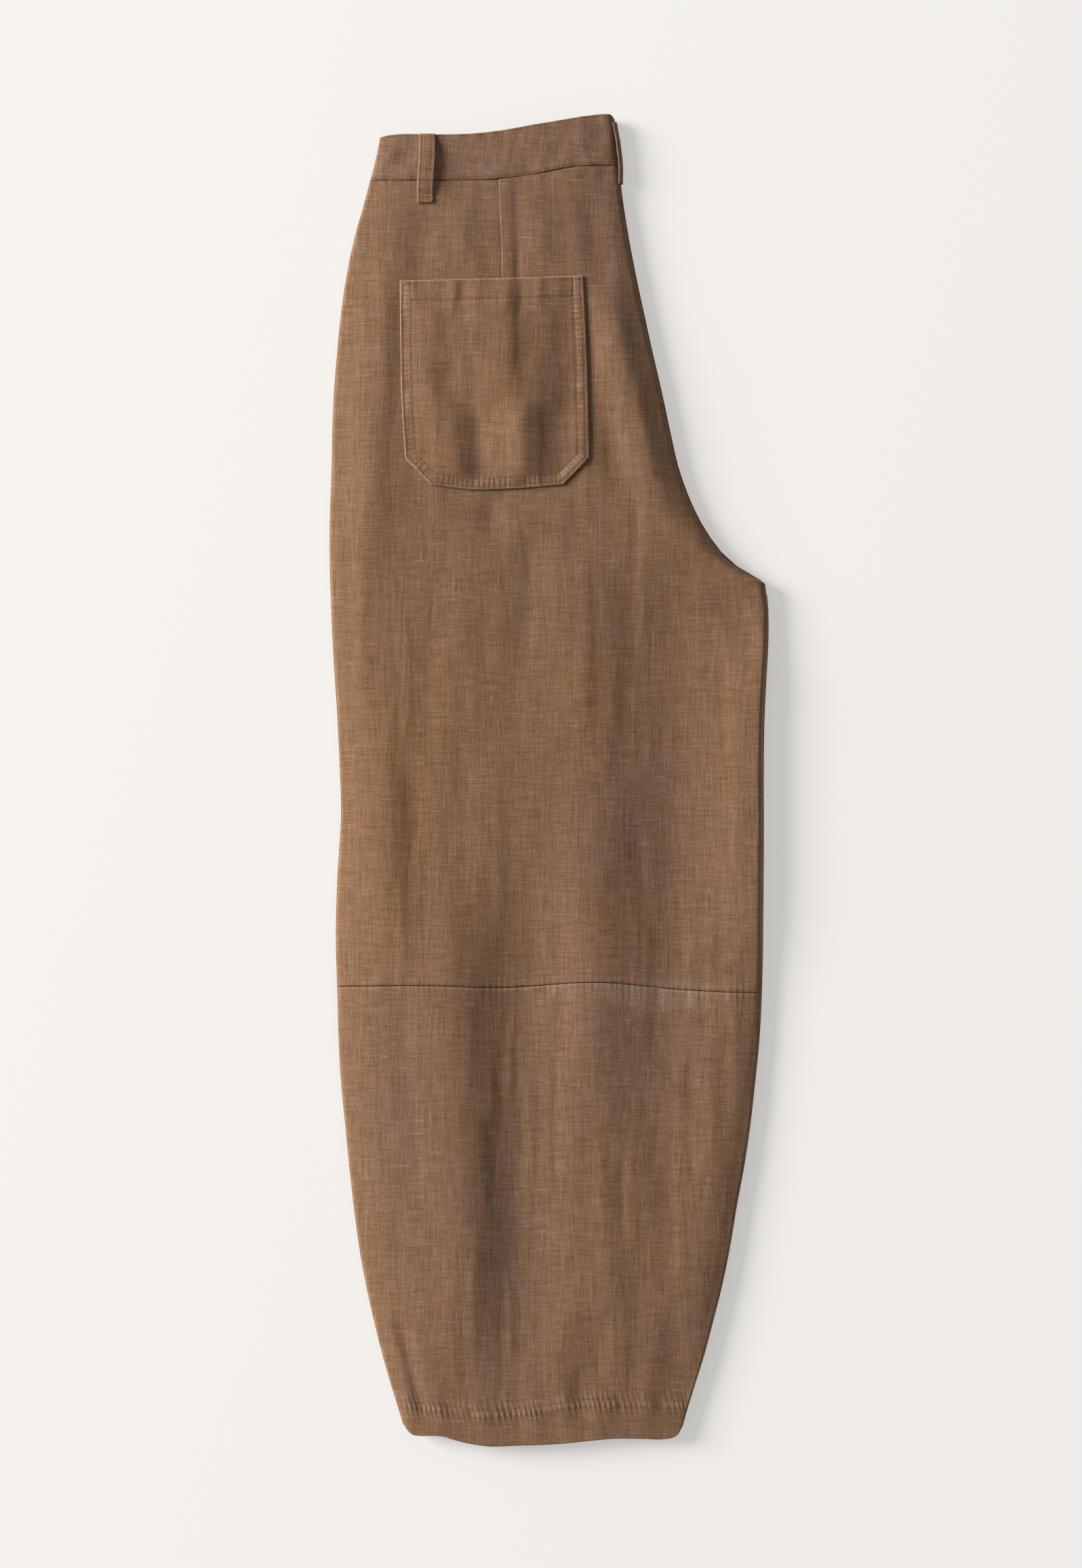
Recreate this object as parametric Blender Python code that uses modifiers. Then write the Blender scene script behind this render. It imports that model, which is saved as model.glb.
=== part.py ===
"""Barrel leg linen trousers, folded in half along the centre back seam and laid flat.

The left leg lies on the right one with its back upwards. The side seams make the left
edge, the seat and the inseams make the right edge. Sizes are in metres, +Z is up, +Y
points to the waist and +X to the seat. The origin lies on the surface that carries the
garment, under the middle of its outline.
"""

import math
from typing import NamedTuple

import bmesh
import bpy
import numpy as np

MM = 0.001

# Cloth and seams
CLOTH = 1.2 * MM
HEM_CLOTH = 1.8 * MM
BAND_CLOTH = 1.9 * MM
EDGE_CLOTH = 1.3 * MM
UNDER_GAP = 0.4 * MM
BUTT_GAP = 0.5 * MM
FOOT_GAP = 0.9 * MM
LAID_ON_GAP = 0.4 * MM
HEM_STEP = 1.5 * MM

# How the folded legs lie
LENGTH = 1002 * MM
HEM_DEPTH = 28 * MM
LEG_EDGE = 4.0 * MM
LEG_ROLL = LEG_EDGE / 2
LEG_PART = 0.3 * MM
LEG_SHARE = 0.5
EDGE_TOP = 2 * LEG_EDGE + LEG_PART
FAR_LEG_INSET = 1.2 * MM
GROOVE_DEPTH = 3.4 * MM
SIDE_SOFTNESS = 46 * MM
FOLD_FADE = 26 * MM
CROTCH_UP = 649.2 * MM
CROTCH_FADE = 14 * MM
CROTCH_STEP = 4.5 * MM
MOST_SLANT = 2.2
KNEE_DIP = 0.5 * MM
KNEE_DIP_REACH = 4 * MM

# Openings of the legs at the hem, and where the two legs part
MOUTH_DEPTH = 55 * MM
NEAR_MOUTH = 1.5 * MM
FAR_MOUTH = 1.3 * MM
FAR_MOUTH_FLOOR = 1.5 * MM
MOUTH_SIDE = 9 * MM
MOUTH_FADE = 25 * MM
LEG_GAP = 0.7 * MM
LEG_GAP_DEPTH = 10 * MM
FAR_HEM_SHIFT = 2.5 * MM
FAR_TOP_SHIFT = 2.0 * MM
SLIT_OVERRUN = 6 * MM
SLIT_COLUMNS = 8

# Waistband and belt loops
BAND_PROUD = 0.5 * MM
BAND_PARTS = (0, 0.25, 0.33, 0.4, 0.7, 1)
FRONT_SET_BACK = 24 * MM
WAIST_MOUTH = 3.2 * MM
BAND_STEP = 2.5 * MM
LOOP_WIDTH = 12 * MM
LOOP_CLOTH = 1.6 * MM
LOOP_ARCH = 2.0 * MM
LOOP_FOOT = 7 * MM
LOOP_TOP_X = -91.8 * MM
LOOP_LOW_X = -93.3 * MM
LOOP_BELOW_SEAM = 13.8 * MM
LOOP_UNDER_TOP = 0.4 * MM
BACK_LOOP_TURNS = (62, -35)
BACK_LOOP_DROP = 3.5 * MM
LOOP_PARTS = (0, 0.12, 0.26, 0.4, 0.55, 0.7, 0.82, 0.92, 1)
LOOP_COLUMNS = 6
BACK_LOOP_BOW = 1.6 * MM

# Patch pocket
POCKET_CLOTH = 1.2 * MM
POCKET_BULGE = 1.0 * MM
POCKET_COLUMNS = 14
POCKET_TOP_SLANT = 3.5 * MM
POCKET_FOOT_SAG = 3.0 * MM

# Fineness of the solids
ROLL_ANGLES = (0, 30, 60)
FOLD_ANGLES = (80, 70, 58, 46, 34, 22, 10, 0)
ACROSS = 24
ROW_STEP = 25 * MM


class Knot(NamedTuple):
    """One measured point of an outline: how far up or across it is, and its value."""

    at: float
    value: float


class Fold(NamedTuple):
    """A soft ridge, or a trough if its height is negative, from one end to the other."""

    x0: float
    up0: float
    x1: float
    up1: float
    half_width: float
    height: float


def in_mm(kind, *rows):
    return [kind(*(value * MM for value in row)) for row in rows]


def by_share(*rows):
    """Knots whose place is a share of the width and whose value is in millimetres."""
    return [Knot(share, value * MM) for share, value in rows]


# Side seam: height above the hem's lowest point, and x
OUTSEAM = in_mm(
    Knot,
    (7, -106.5), (27, -112.7), (78, -127.5), (139, -140.8), (200, -148.9), (272, -156.1),
    (343, -159.1), (425, -159.1), (476, -156.4), (547, -159.1), (608, -162.7), (685, -164.8),
    (782, -162.2), (853, -156.1), (914, -144.8), (951, -134.6), (986, -126.6),
)
# Inseam, from the hem to the crotch point
INSEAM = in_mm(
    Knot,
    (5, 96.0), (27, 103.5), (68, 116.3), (119, 129.5), (180, 140.8), (241, 151.0),
    (302, 157.6), (353, 160.1), (455, 161.2), (547, 161.7), (608, 164.7), (649.2, 162.6),
)
# Seat seam, from the crotch point to the waist
SEAT = in_mm(
    Knot,
    (649.2, 162.6), (654.5, 152.5), (660, 143.5), (670, 131.6), (690, 116.8), (715, 104.5),
    (761, 91.3), (823, 77.5), (884, 64.3), (945, 54.1), (963, 52.2), (985, 49.8), (1001, 48.8),
)
# Lines across the garment: share of the width from side seam to seat, and height
HEM_LINE = by_share(
    (0, 14), (0.02, 9.6), (0.05, 7.9), (0.11, 7.9), (0.17, 5.2), (0.23, 2.2), (0.30, 0),
    (0.42, 0.9), (0.56, 1.6), (0.66, 3.8), (0.75, 5.5), (0.93, 5.0), (0.975, 7.0), (1, 12),
)
KNEE_LINE = by_share(
    (0, 345.8), (0.2, 346.8), (0.42, 345.3), (0.6, 348.6), (0.78, 344.4), (1, 340.7)
)
WAIST_LINE = by_share((0, 952.2), (0.26, 949.6), (0.51, 952.4), (0.78, 960.3), (1, 963.6))
TOP_LINE = by_share(
    (0, 985.3), (0.25, 986.3), (0.46, 988.4), (0.7, 995.4), (0.92, 1001.4), (0.98, 1002),
    (1, 999.5),
)
# Loft of the layers: height above the hem, and how far the middle stands over the edges
DOME = in_mm(
    Knot, (0, 3.2), (110, 5.2), (345, 6.0), (650, 5.6), (850, 4.6), (950, 3.4), (1002, 2.4)
)
# The largest folds
FOLDS = in_mm(
    Fold,
    (-84, 330, -54, 20, 26, 3.0),
    (-30, 400, -20, 40, 20, -2.6),
    (27, 330, 24, 60, 24, 1.3),
    (70, 380, 66, 60, 20, -1.5),
    (131, 335, 116, 130, 18, 1.4),
    (146, 620, 136, 355, 15, 1.6),
    (117, 630, 101, 375, 18, -2.0),
    (20, 500, 15, 350, 18, 1.4),
    (-15, 490, -25, 355, 15, -1.5),
    (47, 880, 66, 730, 17, 1.6),
    (24, 890, 35, 745, 20, -1.6),
    (-40, 880, -34, 745, 28, 1.4),
)


class PocketRow(NamedTuple):
    """One line across the pocket: height over the hem, left end and right end."""

    up: float
    left: float
    right: float


POCKET_ROWS = in_mm(
    PocketRow,
    (722.7, -88.7, 10.2), (733.4, -98.4, 20.0), (744.0, -108.1, 30.1), (758.0, -109.5, 30.0),
    (785.0, -110.7, 29.6), (812.0, -111.3, 28.6), (839.0, -111.7, 27.6), (861.0, -112.1, 26.5),
    (876.2, -112.2, 25.5),
)


def smooth_through(knots, at):
    """The value at one place of the smooth curve that passes through all the knots."""
    places = [knot.at for knot in knots]
    values = [knot.value for knot in knots]
    last = len(knots) - 2
    i = min(max(int(np.searchsorted(places, at)) - 1, 0), last)
    slopes = []
    for k in (i, i + 1):
        low, high = max(k - 1, 0), min(k + 1, last + 1)
        slopes.append((values[high] - values[low]) / (places[high] - places[low]))
    step = places[i + 1] - places[i]
    t = (at - places[i]) / step
    t = min(max(t, 0.0), 1.0)
    return (
        values[i] * (1 + 2 * t) * (1 - t) ** 2
        + values[i + 1] * t * t * (3 - 2 * t)
        + step * slopes[0] * t * (1 - t) ** 2
        - step * slopes[1] * t * t * (1 - t)
    )


def blend(a, b, share):
    return a + (b - a) * share


def ease(share):
    """Rises from 0 to 1 and levels out, like cloth that leaves a folded edge."""
    share = min(max(share, 0.0), 1.0)
    return 1 - (1 - share) ** 2


def soft_step(share):
    share = min(max(share, 0.0), 1.0)
    return share * share * (3 - 2 * share)


def side_x(up):
    return smooth_through(OUTSEAM, up)


def seat_x(up):
    return smooth_through(INSEAM if up < CROTCH_UP else SEAT, up)


def seat_share(up):
    """1 where the right edge is one fold at the centre back, 0 where it is two inseams."""
    return soft_step((up - CROTCH_UP) / CROTCH_FADE)


def right_roll(up):
    """Height of the panel's rolled edge, from its seam to where it lies flat."""
    return blend(LEG_ROLL, EDGE_TOP / 2, seat_share(up))


def slant_of_seat(up):
    """How much longer than straight through a level line cuts the cloth at this edge."""
    run = (seat_x(up + MM) - seat_x(up - MM)) / (2 * MM)
    return min(math.hypot(1, run), MOST_SLANT)


def folds_at(x, up):
    total = 0.0
    for fold in FOLDS:
        dx, dup = fold.x1 - fold.x0, fold.up1 - fold.up0
        length = math.hypot(dx, dup)
        along = ((x - fold.x0) * dx + (up - fold.up0) * dup) / length
        aside = ((x - fold.x0) * dup - (up - fold.up0) * dx) / length
        beyond = max(-along, along - length, 0.0)
        total += fold.height * math.exp(
            -((aside / fold.half_width) ** 2) - (beyond / (1.6 * fold.half_width)) ** 2
        )
    return total


def loft_height(x, up, left, right):
    """Top of the folded garment over the carrying surface, without its rolled edges."""
    from_left, from_right = x - left, right - x
    dome = smooth_through(DOME, up)
    dome *= ease(from_left / SIDE_SOFTNESS) * ease(from_right / SIDE_SOFTNESS)
    folds = folds_at(x, up)
    folds *= soft_step(from_left / FOLD_FADE) * soft_step(from_right / FOLD_FADE)
    return EDGE_TOP + dome + folds


def roll_drop(distance):
    """How far a rolled edge has dropped, this far in from its seam, both in rolls."""
    if distance >= 1:
        return 0.0
    return 1 - math.sqrt(max(1 - (1 - distance) ** 2, 0.0))


class Row:
    """One line across the folded garment, from the side seam to the seat or inseam."""

    def __init__(self, height_at, depth=CLOTH, lift=0.0):
        """height_at gives the line's height for a share of the width."""
        self.height_at = height_at
        self.depth = depth
        self.lift = lift
        self.left = side_x(height_at(0))
        self.right = seat_x(height_at(1))
        self.right_roll = right_roll(height_at(1))
        self.right_reach = self.right_roll * slant_of_seat(height_at(1))

    def share(self, x):
        return min(max((x - self.left) / (self.right - self.left), 0.0), 1.0)

    def up(self, x):
        return self.height_at(self.share(x))

    def stations(self):
        """x of each column: the left roll, the middle and the right roll."""
        start, end = self.left + LEG_ROLL, self.right - self.right_reach
        curl = [1 - math.cos(math.radians(angle)) for angle in ROLL_ANGLES]
        return (
            [self.left + LEG_ROLL * c for c in curl]
            + [blend(start, end, k / ACROSS) for k in range(ACROSS + 1)]
            + [self.right - self.right_reach * c for c in reversed(curl)]
        )

    def skin(self, x):
        """The point of the upper skin at x."""
        up = self.up(x)
        z = loft_height(x, up, self.left, self.right)
        z -= LEG_ROLL * roll_drop((x - self.left) / LEG_ROLL)
        z -= self.right_roll * roll_drop((self.right - x) / self.right_reach)
        inside = soft_step(min(x - self.left, self.right - x) / FOLD_FADE)
        z -= KNEE_DIP * inside * math.exp(-(((up - self.knee_up(x)) / KNEE_DIP_REACH) ** 2))
        return (x, up - LENGTH / 2, z)

    def knee_up(self, x):
        return smooth_through(KNEE_LINE, self.share(x))


def skin_grid(rows):
    return np.array([[row.skin(x) for x in row.stations()] for row in rows])


def outward(grid):
    normals = np.cross(np.gradient(grid, axis=1), np.gradient(grid, axis=0))
    return normals / np.linalg.norm(normals, axis=2, keepdims=True)


def sunk(rows, depth_of):
    """The skin over the rows, moved inwards by each row's own depth.

    Its cut ends stay square to the garment, and its rolled edges stay level.
    """
    grid = skin_grid(rows)
    normals = outward(grid)
    normals[[0, -1], :, 1] = 0
    normals[:, [0, -1], 2] = 0
    normals /= np.linalg.norm(normals, axis=2, keepdims=True)
    depths = np.array([depth_of(row) for row in rows])
    return grid - normals * depths[:, None, None]


def lines_between(low, high, parts, **cloth):
    """Rows from one line to another, one for each part of the way."""
    rows = []
    for part in parts:
        rows.append(Row(lambda share, part=part: blend(low(share), high(share), part), **cloth))
    return rows


def line(knots, shift=0.0):
    return lambda share: smooth_through(knots, share) + shift


def parts_at(low, high, heights):
    """How far each height lies from one line to the other, at the right edge."""
    return [(height - low(1)) / (high(1) - low(1)) for height in heights]


def spaced(start, end, step=ROW_STEP):
    """Heights from start to end, about a step apart."""
    count = max(1, round(abs(end - start) / step))
    return [blend(start, end, k / count) for k in range(count + 1)]


def lower_panel_rows():
    low, high = line(HEM_LINE), line(KNEE_LINE, -BUTT_GAP / 2)
    hem = lines_between(low, line(HEM_LINE, HEM_DEPTH), (0, 0.5, 1), depth=HEM_CLOTH)
    start = line(HEM_LINE, HEM_DEPTH + HEM_STEP)
    heights = spaced(start(1), high(1))
    return hem + lines_between(start, high, parts_at(start, high, heights))


def upper_panel_rows():
    low, high = line(KNEE_LINE, BUTT_GAP / 2), line(WAIST_LINE, -BUTT_GAP / 2)
    below = spaced(low(1), CROTCH_UP - 2 * CROTCH_STEP)
    corner = spaced(CROTCH_UP - CROTCH_STEP, CROTCH_UP + 4 * CROTCH_STEP, CROTCH_STEP)
    above = spaced(CROTCH_UP + 7 * CROTCH_STEP, high(1))
    return lines_between(low, high, parts_at(low, high, below + corner + above))


def waistband_rows():
    low, high = line(WAIST_LINE, BUTT_GAP / 2), line(TOP_LINE)
    return lines_between(low, high, BAND_PARTS, depth=BAND_CLOTH, lift=BAND_PROUD)


def new_object(name, vertices, faces):
    mesh = bpy.data.meshes.new(name)
    mesh.from_pydata([tuple(map(float, v)) for v in vertices], [], faces)
    return bpy.data.objects.new(name, mesh)


def lofted_sheet(name, grid):
    """An open surface through a grid of points, facing up where x and y both grow."""
    rows, columns = grid.shape[:2]
    faces = []
    for i in range(rows - 1):
        for j in range(columns - 1):
            a, b = i * columns + j, (i + 1) * columns + j
            faces.append((a, a + 1, b + 1))
            faces.append((a, b + 1, b))
    return new_object(name, grid.reshape(-1, 3), faces)


def thicken(obj, thickness, side, shares=None):
    """Gives a sheet its thickness, on its inner (-1) or outer (1) side."""
    solidify = obj.modifiers.new("cloth", "SOLIDIFY")
    solidify.thickness = thickness
    solidify.offset = side
    if shares is not None:
        group = obj.vertex_groups.new(name="thickness")
        for index, share in enumerate(shares):
            group.add([index], float(share), "REPLACE")
        solidify.vertex_group = group.name
    return obj


def make_panel(name, rows, material):
    grid = sunk(rows, lambda row: -row.lift)
    thickest = max(row.depth for row in rows)
    rolled = len(ROLL_ANGLES)
    shares = []
    for row in rows:
        flat = [row.depth / thickest] * (grid.shape[1] - 2 * rolled)
        edge = [min(row.depth, EDGE_CLOTH) / thickest] * rolled
        shares += edge + flat + edge
    return finish(thicken(lofted_sheet(name, grid), thickest, -1, shares), material)


def hidden_mouths(row, x, up):
    """How far the hidden layers lie below the panels in the openings at hem and waist."""
    from_side = min(x - row.left, row.right - x)
    above_hem = up - smooth_through(HEM_LINE, row.share(x))
    below_top = smooth_through(TOP_LINE, row.share(x)) - up
    hem = NEAR_MOUTH * soft_step(1 - above_hem / MOUTH_DEPTH)
    hem *= soft_step((from_side - MOUTH_SIDE) / MOUTH_FADE)
    waist = WAIST_MOUTH * soft_step((FRONT_SET_BACK - below_top) / BAND_STEP)
    waist *= soft_step((from_side - MOUTH_SIDE) / MOUTH_FADE)
    return hem + waist


def side_ring(roll, reach, seat, under):
    """The hidden layers' side, from this far under the skin down to the ground.

    Each point is (distance from the outermost line, height). Below the crotch and at the
    side seam two rounded legs lie on each other, at the seat the far back is one fold.
    """
    inset, tip = FAR_LEG_INSET, LEG_EDGE / 2
    panel_foot = EDGE_TOP - LEG_ROLL - FOOT_GAP
    legs = [
        (under, panel_foot),
        (0, panel_foot),
        (0.15 * LEG_EDGE, LEG_EDGE + LEG_PART + 0.15 * LEG_EDGE),
        (GROOVE_DEPTH, LEG_EDGE + 1.2 * LEG_PART),
        (GROOVE_DEPTH + inset, LEG_EDGE - 0.2 * LEG_PART),
        (inset + 0.15 * LEG_EDGE, 0.85 * LEG_EDGE),
        (inset, tip),
        (inset + 0.15 * LEG_EDGE, 0.15 * LEG_EDGE),
        (inset + tip, 0),
    ]
    fold = [(under, EDGE_TOP / 2 - FOOT_GAP)]
    radius = EDGE_TOP / 2
    for angle in FOLD_ANGLES:
        a = math.radians(angle)
        fold.append((radius * (1 - math.sin(a)), radius * (1 - math.cos(a))))
    stretch = reach / roll
    return [
        (blend(leg[0], turn[0], seat) * stretch, blend(leg[1], turn[1], seat))
        for leg, turn in zip(legs, fold)
    ]


def hidden_ring(row, top_points, low_shift):
    """One closed section of the hidden layers, from the top left corner round the ground."""
    seat = seat_share(row.height_at(1))
    under = row.depth - row.lift + UNDER_GAP
    left = side_ring(LEG_ROLL, LEG_ROLL, 0.0, under)
    right = side_ring(row.right_roll, row.right_reach, seat, under)

    def at(x, z):
        below = 1 - soft_step(z / LEG_EDGE)
        return (x, row.up(x) - LENGTH / 2 + low_shift * below, z)

    ring = [at(row.left + d, z) for d, z in left]
    ring += [at(row.right - d, z) for d, z in reversed(right)]
    return ring + [tuple(point) for point in top_points[::-1]]


def make_hidden_layers(panels, material):
    """Both fronts and the far leg's back, as one rounded solid with layered edges."""
    rows = [row for panel in panels for row in panel]
    grid = np.concatenate(
        [sunk(panel, lambda row: row.depth - row.lift + UNDER_GAP) for panel in panels]
    )
    for i, row in enumerate(rows):
        for j in range(1, grid.shape[1] - 1):
            x, y, z = grid[i, j]
            grid[i, j, 2] = z - hidden_mouths(row, x, y + LENGTH / 2)
    rings = []
    for i, row in enumerate(rows):
        shift = FAR_HEM_SHIFT if i == 0 else -FAR_TOP_SHIFT if i == len(rows) - 1 else 0
        rings.append(hidden_ring(row, grid[i], shift))
    count = len(rings[0])
    vertices = [point for ring in rings for point in ring]
    faces = [tuple(range(count)), tuple(range(len(vertices) - count, len(vertices)))[::-1]]
    for i in range(len(rings) - 1):
        for j in range(count):
            a, b = i * count + j, i * count + (j + 1) % count
            faces.append((a, a + count, b))
            faces.append((a + count, b + count, b))
    body = finish(new_object("hidden_layers", vertices, faces), material)
    mesh = bmesh.new()
    mesh.from_mesh(body.data)
    bmesh.ops.triangulate(mesh, faces=mesh.faces)
    bmesh.ops.recalc_face_normals(mesh, faces=mesh.faces)
    mesh.to_mesh(body.data)
    mesh.free()
    for cutter in (leg_gap_cutter(), far_mouth_cutter()):
        cut(body, cutter)
    return body


def slit(name, start, depth, side, floor_of, heights):
    """A thin wedge that opens the layered hem, from below it to this deep inside."""
    grid, shares = [], []
    for away, height in zip((-SLIT_OVERRUN, 0.5 * depth, depth), heights):
        row = Row(lambda share, away=away: start(share) + away)
        ends = (row.left + side, row.right - side)
        xs = [blend(*ends, k / SLIT_COLUMNS) for k in range(SLIT_COLUMNS + 1)]
        grid.append([(x, row.up(x) - LENGTH / 2, floor_of(row, x)) for x in xs])
        shares += [height / max(heights)] * len(xs)
    return thicken(lofted_sheet(name, np.array(grid)), max(heights), 1, shares)


def middle_height(row, x):
    """Height at which the two legs part."""
    top = loft_height(x, row.up(x), row.left, row.right)
    return LEG_EDGE + LEG_PART / 2 + LEG_SHARE * (top - EDGE_TOP)


def leg_gap_cutter():
    return slit(
        "leg_gap_cutter",
        line(HEM_LINE),
        LEG_GAP_DEPTH,
        -SLIT_OVERRUN,
        lambda row, x: middle_height(row, x) - LEG_GAP / 2,
        (LEG_GAP, blend(LEG_GAP, LEG_PART, 0.5), LEG_PART),
    )


def far_mouth_cutter():
    return slit(
        "far_mouth_cutter",
        line(HEM_LINE),
        MOUTH_DEPTH,
        MOUTH_SIDE,
        lambda row, x: FAR_MOUTH_FLOOR,
        (FAR_MOUTH, blend(FAR_MOUTH, LEG_PART, 0.5), LEG_PART),
    )


def cut(body, cutter):
    cutters.objects.link(cutter)
    cutter.hide_render = True
    cutter.display_type = "WIRE"
    modifier = body.modifiers.new(cutter.name, "BOOLEAN")
    modifier.operation = "DIFFERENCE"
    modifier.solver = "EXACT"
    modifier.object = cutter


def laid_on(name, grid, lifts, thickness, material):
    """A piece that lies on the skin: each point is moved out by its own lift."""
    grid = grid + outward(grid) * lifts[:, :, None]
    return finish(thicken(lofted_sheet(name, grid), thickness, 1), material)


def skin_row_at(up):
    """The line across the whole garment at one height."""
    return Row(lambda share: up)


def laid_point(x, up):
    row = skin_row_at(up)
    return row.skin(x)


def make_side_loop(material):
    """A strip sewn down at both ends over the waistband, arched between them."""
    seam, top = line(WAIST_LINE), line(TOP_LINE)
    row = skin_row_at(seam(0))
    share = row.share(LOOP_TOP_X)
    low_up = seam(share) - LOOP_BELOW_SEAM
    high_up = top(share) - LOOP_UNDER_TOP
    grid, lifts = [], []
    for part in LOOP_PARTS:
        up = blend(low_up, high_up, part)
        middle = blend(LOOP_LOW_X, LOOP_TOP_X, part)
        from_end = min(up - low_up, high_up - up)
        arch = LOOP_ARCH * soft_step((from_end - LOOP_FOOT / 2) / LOOP_FOOT)
        lift = BAND_PROUD + LAID_ON_GAP + arch
        ends = (middle - LOOP_WIDTH / 2, middle + LOOP_WIDTH / 2)
        xs = [blend(*ends, k / LOOP_COLUMNS) for k in range(LOOP_COLUMNS + 1)]
        grid.append([laid_point(x, up) for x in xs])
        lifts.append([lift] * len(xs))
    laid_on("side_belt_loop", np.array(grid), np.array(lifts), LOOP_CLOTH, material)


def make_back_loop(material):
    """The strip over the centre back, bent round the fold with the waistband."""
    seam, top = line(WAIST_LINE), line(TOP_LINE)
    low_up = seam(1) - LOOP_BELOW_SEAM
    high_up = top(1) - LOOP_UNDER_TOP - BACK_LOOP_DROP
    radius = EDGE_TOP / 2 + BAND_PROUD + LAID_ON_GAP
    turns = np.radians(np.linspace(*BACK_LOOP_TURNS, LOOP_COLUMNS + 1))
    grid = []
    for part in LOOP_PARTS:
        y = blend(low_up, high_up, part) - LENGTH / 2
        centre = seat_x(y + LENGTH / 2) - EDGE_TOP / 2
        centre += BACK_LOOP_BOW * math.sin(math.pi * part)
        ring = [(radius * math.cos(a), radius * math.sin(a)) for a in turns]
        grid.append([(centre + x, y, EDGE_TOP / 2 + z) for x, z in ring])
    strip = lofted_sheet("back_belt_loop", np.array(grid))
    return finish(thicken(strip, LOOP_CLOTH, 1), material)


def make_pocket(material):
    """The patch pocket, laid on the back and a little fuller than the cloth under it."""
    grid, lifts = [], []
    last = len(POCKET_ROWS) - 1
    for i, row in enumerate(POCKET_ROWS):
        points, row_lifts = [], []
        for k in range(POCKET_COLUMNS + 1):
            share = k / POCKET_COLUMNS
            up = row.up
            if i == last:
                up += POCKET_TOP_SLANT * share
            if i == 0:
                up -= POCKET_FOOT_SAG * math.sin(math.pi * share)
            points.append(laid_point(blend(row.left, row.right, share), up))
            across = math.sin(math.pi * share)
            upwards = soft_step(i / (last - 2))
            row_lifts.append(LAID_ON_GAP + POCKET_BULGE * across * upwards)
        grid.append(points)
        lifts.append(row_lifts)
    laid_on("patch_pocket", np.array(grid), np.array(lifts), POCKET_CLOTH, material)


def make_material(name, colour, roughness):
    material = bpy.data.materials.new(name)
    material.use_nodes = True
    shader = material.node_tree.nodes["Principled BSDF"]
    shader.inputs["Base Color"].default_value = (*colour, 1)
    shader.inputs["Roughness"].default_value = roughness
    shader.inputs["Metallic"].default_value = 0.0
    return material


def finish(obj, material):
    obj.data.materials.append(material)
    parts.objects.link(obj)
    return obj


for old in list(bpy.data.objects):
    bpy.data.objects.remove(old, do_unlink=True)
parts = bpy.data.collections.new("barrel_leg_trousers")
cutters = bpy.data.collections.new("cutters")
bpy.context.scene.collection.children.link(parts)
bpy.context.scene.collection.children.link(cutters)

linen = make_material("brown_linen", (0.201, 0.112, 0.063), 0.9)
band_linen = make_material("waistband_linen", (0.227, 0.130, 0.082), 0.9)
pocket_linen = make_material("pocket_linen", (0.266, 0.150, 0.089), 0.9)
inner_linen = make_material("inner_linen", (0.170, 0.092, 0.054), 0.9)

lower_rows = lower_panel_rows()
upper_rows = upper_panel_rows()
band_rows = waistband_rows()
make_panel("back_lower_panel", lower_rows, linen)
make_panel("back_upper_panel", upper_rows, linen)
make_panel("waistband", band_rows, band_linen)
make_side_loop(band_linen)
make_back_loop(band_linen)
make_pocket(pocket_linen)
make_hidden_layers((lower_rows, upper_rows, band_rows), inner_linen)
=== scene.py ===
"""Barrel leg linen trousers, folded in half along the centre back and laid flat.

Metres, +Z up from the floor, +Y to the waist, +X from the side seams to the seat.
"""

import math
from typing import NamedTuple

import bpy
import numpy as np
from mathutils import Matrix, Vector


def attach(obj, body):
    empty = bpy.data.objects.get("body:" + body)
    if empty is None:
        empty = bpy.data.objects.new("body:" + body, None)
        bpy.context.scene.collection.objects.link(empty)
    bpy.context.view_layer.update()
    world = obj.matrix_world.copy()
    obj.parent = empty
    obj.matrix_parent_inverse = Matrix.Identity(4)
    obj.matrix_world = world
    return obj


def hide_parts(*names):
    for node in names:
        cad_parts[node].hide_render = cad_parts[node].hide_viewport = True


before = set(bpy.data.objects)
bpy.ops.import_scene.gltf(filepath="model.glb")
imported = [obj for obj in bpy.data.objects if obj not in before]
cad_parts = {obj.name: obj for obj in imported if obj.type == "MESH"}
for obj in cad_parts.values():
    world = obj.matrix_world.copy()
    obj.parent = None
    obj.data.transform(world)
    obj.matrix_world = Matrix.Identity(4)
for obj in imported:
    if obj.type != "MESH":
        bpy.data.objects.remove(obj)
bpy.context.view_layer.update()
bpy.ops.object.select_all(action="DESELECT")

MM = 0.001

# The lie of the garment
# The two legs lie on each other, so the outline is a side seam on the left, and the seat
# seam and the inseams on the right. Every piece of cloth below takes its place from it.

LENGTH = 1002 * MM
LEG_EDGE = 4.0 * MM
LEG_ROLL = LEG_EDGE / 2
LEG_PART = 0.3 * MM
EDGE_TOP = 2 * LEG_EDGE + LEG_PART
CROTCH_UP = 649.2 * MM
CROTCH_FADE = 14 * MM
LOFT_CURVE = 2.6
STEEPEST_SEAT = 2.2


class Knot(NamedTuple):
    """One measured point of a line, in millimetres or as a share of the width."""

    at: float
    value: float


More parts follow.
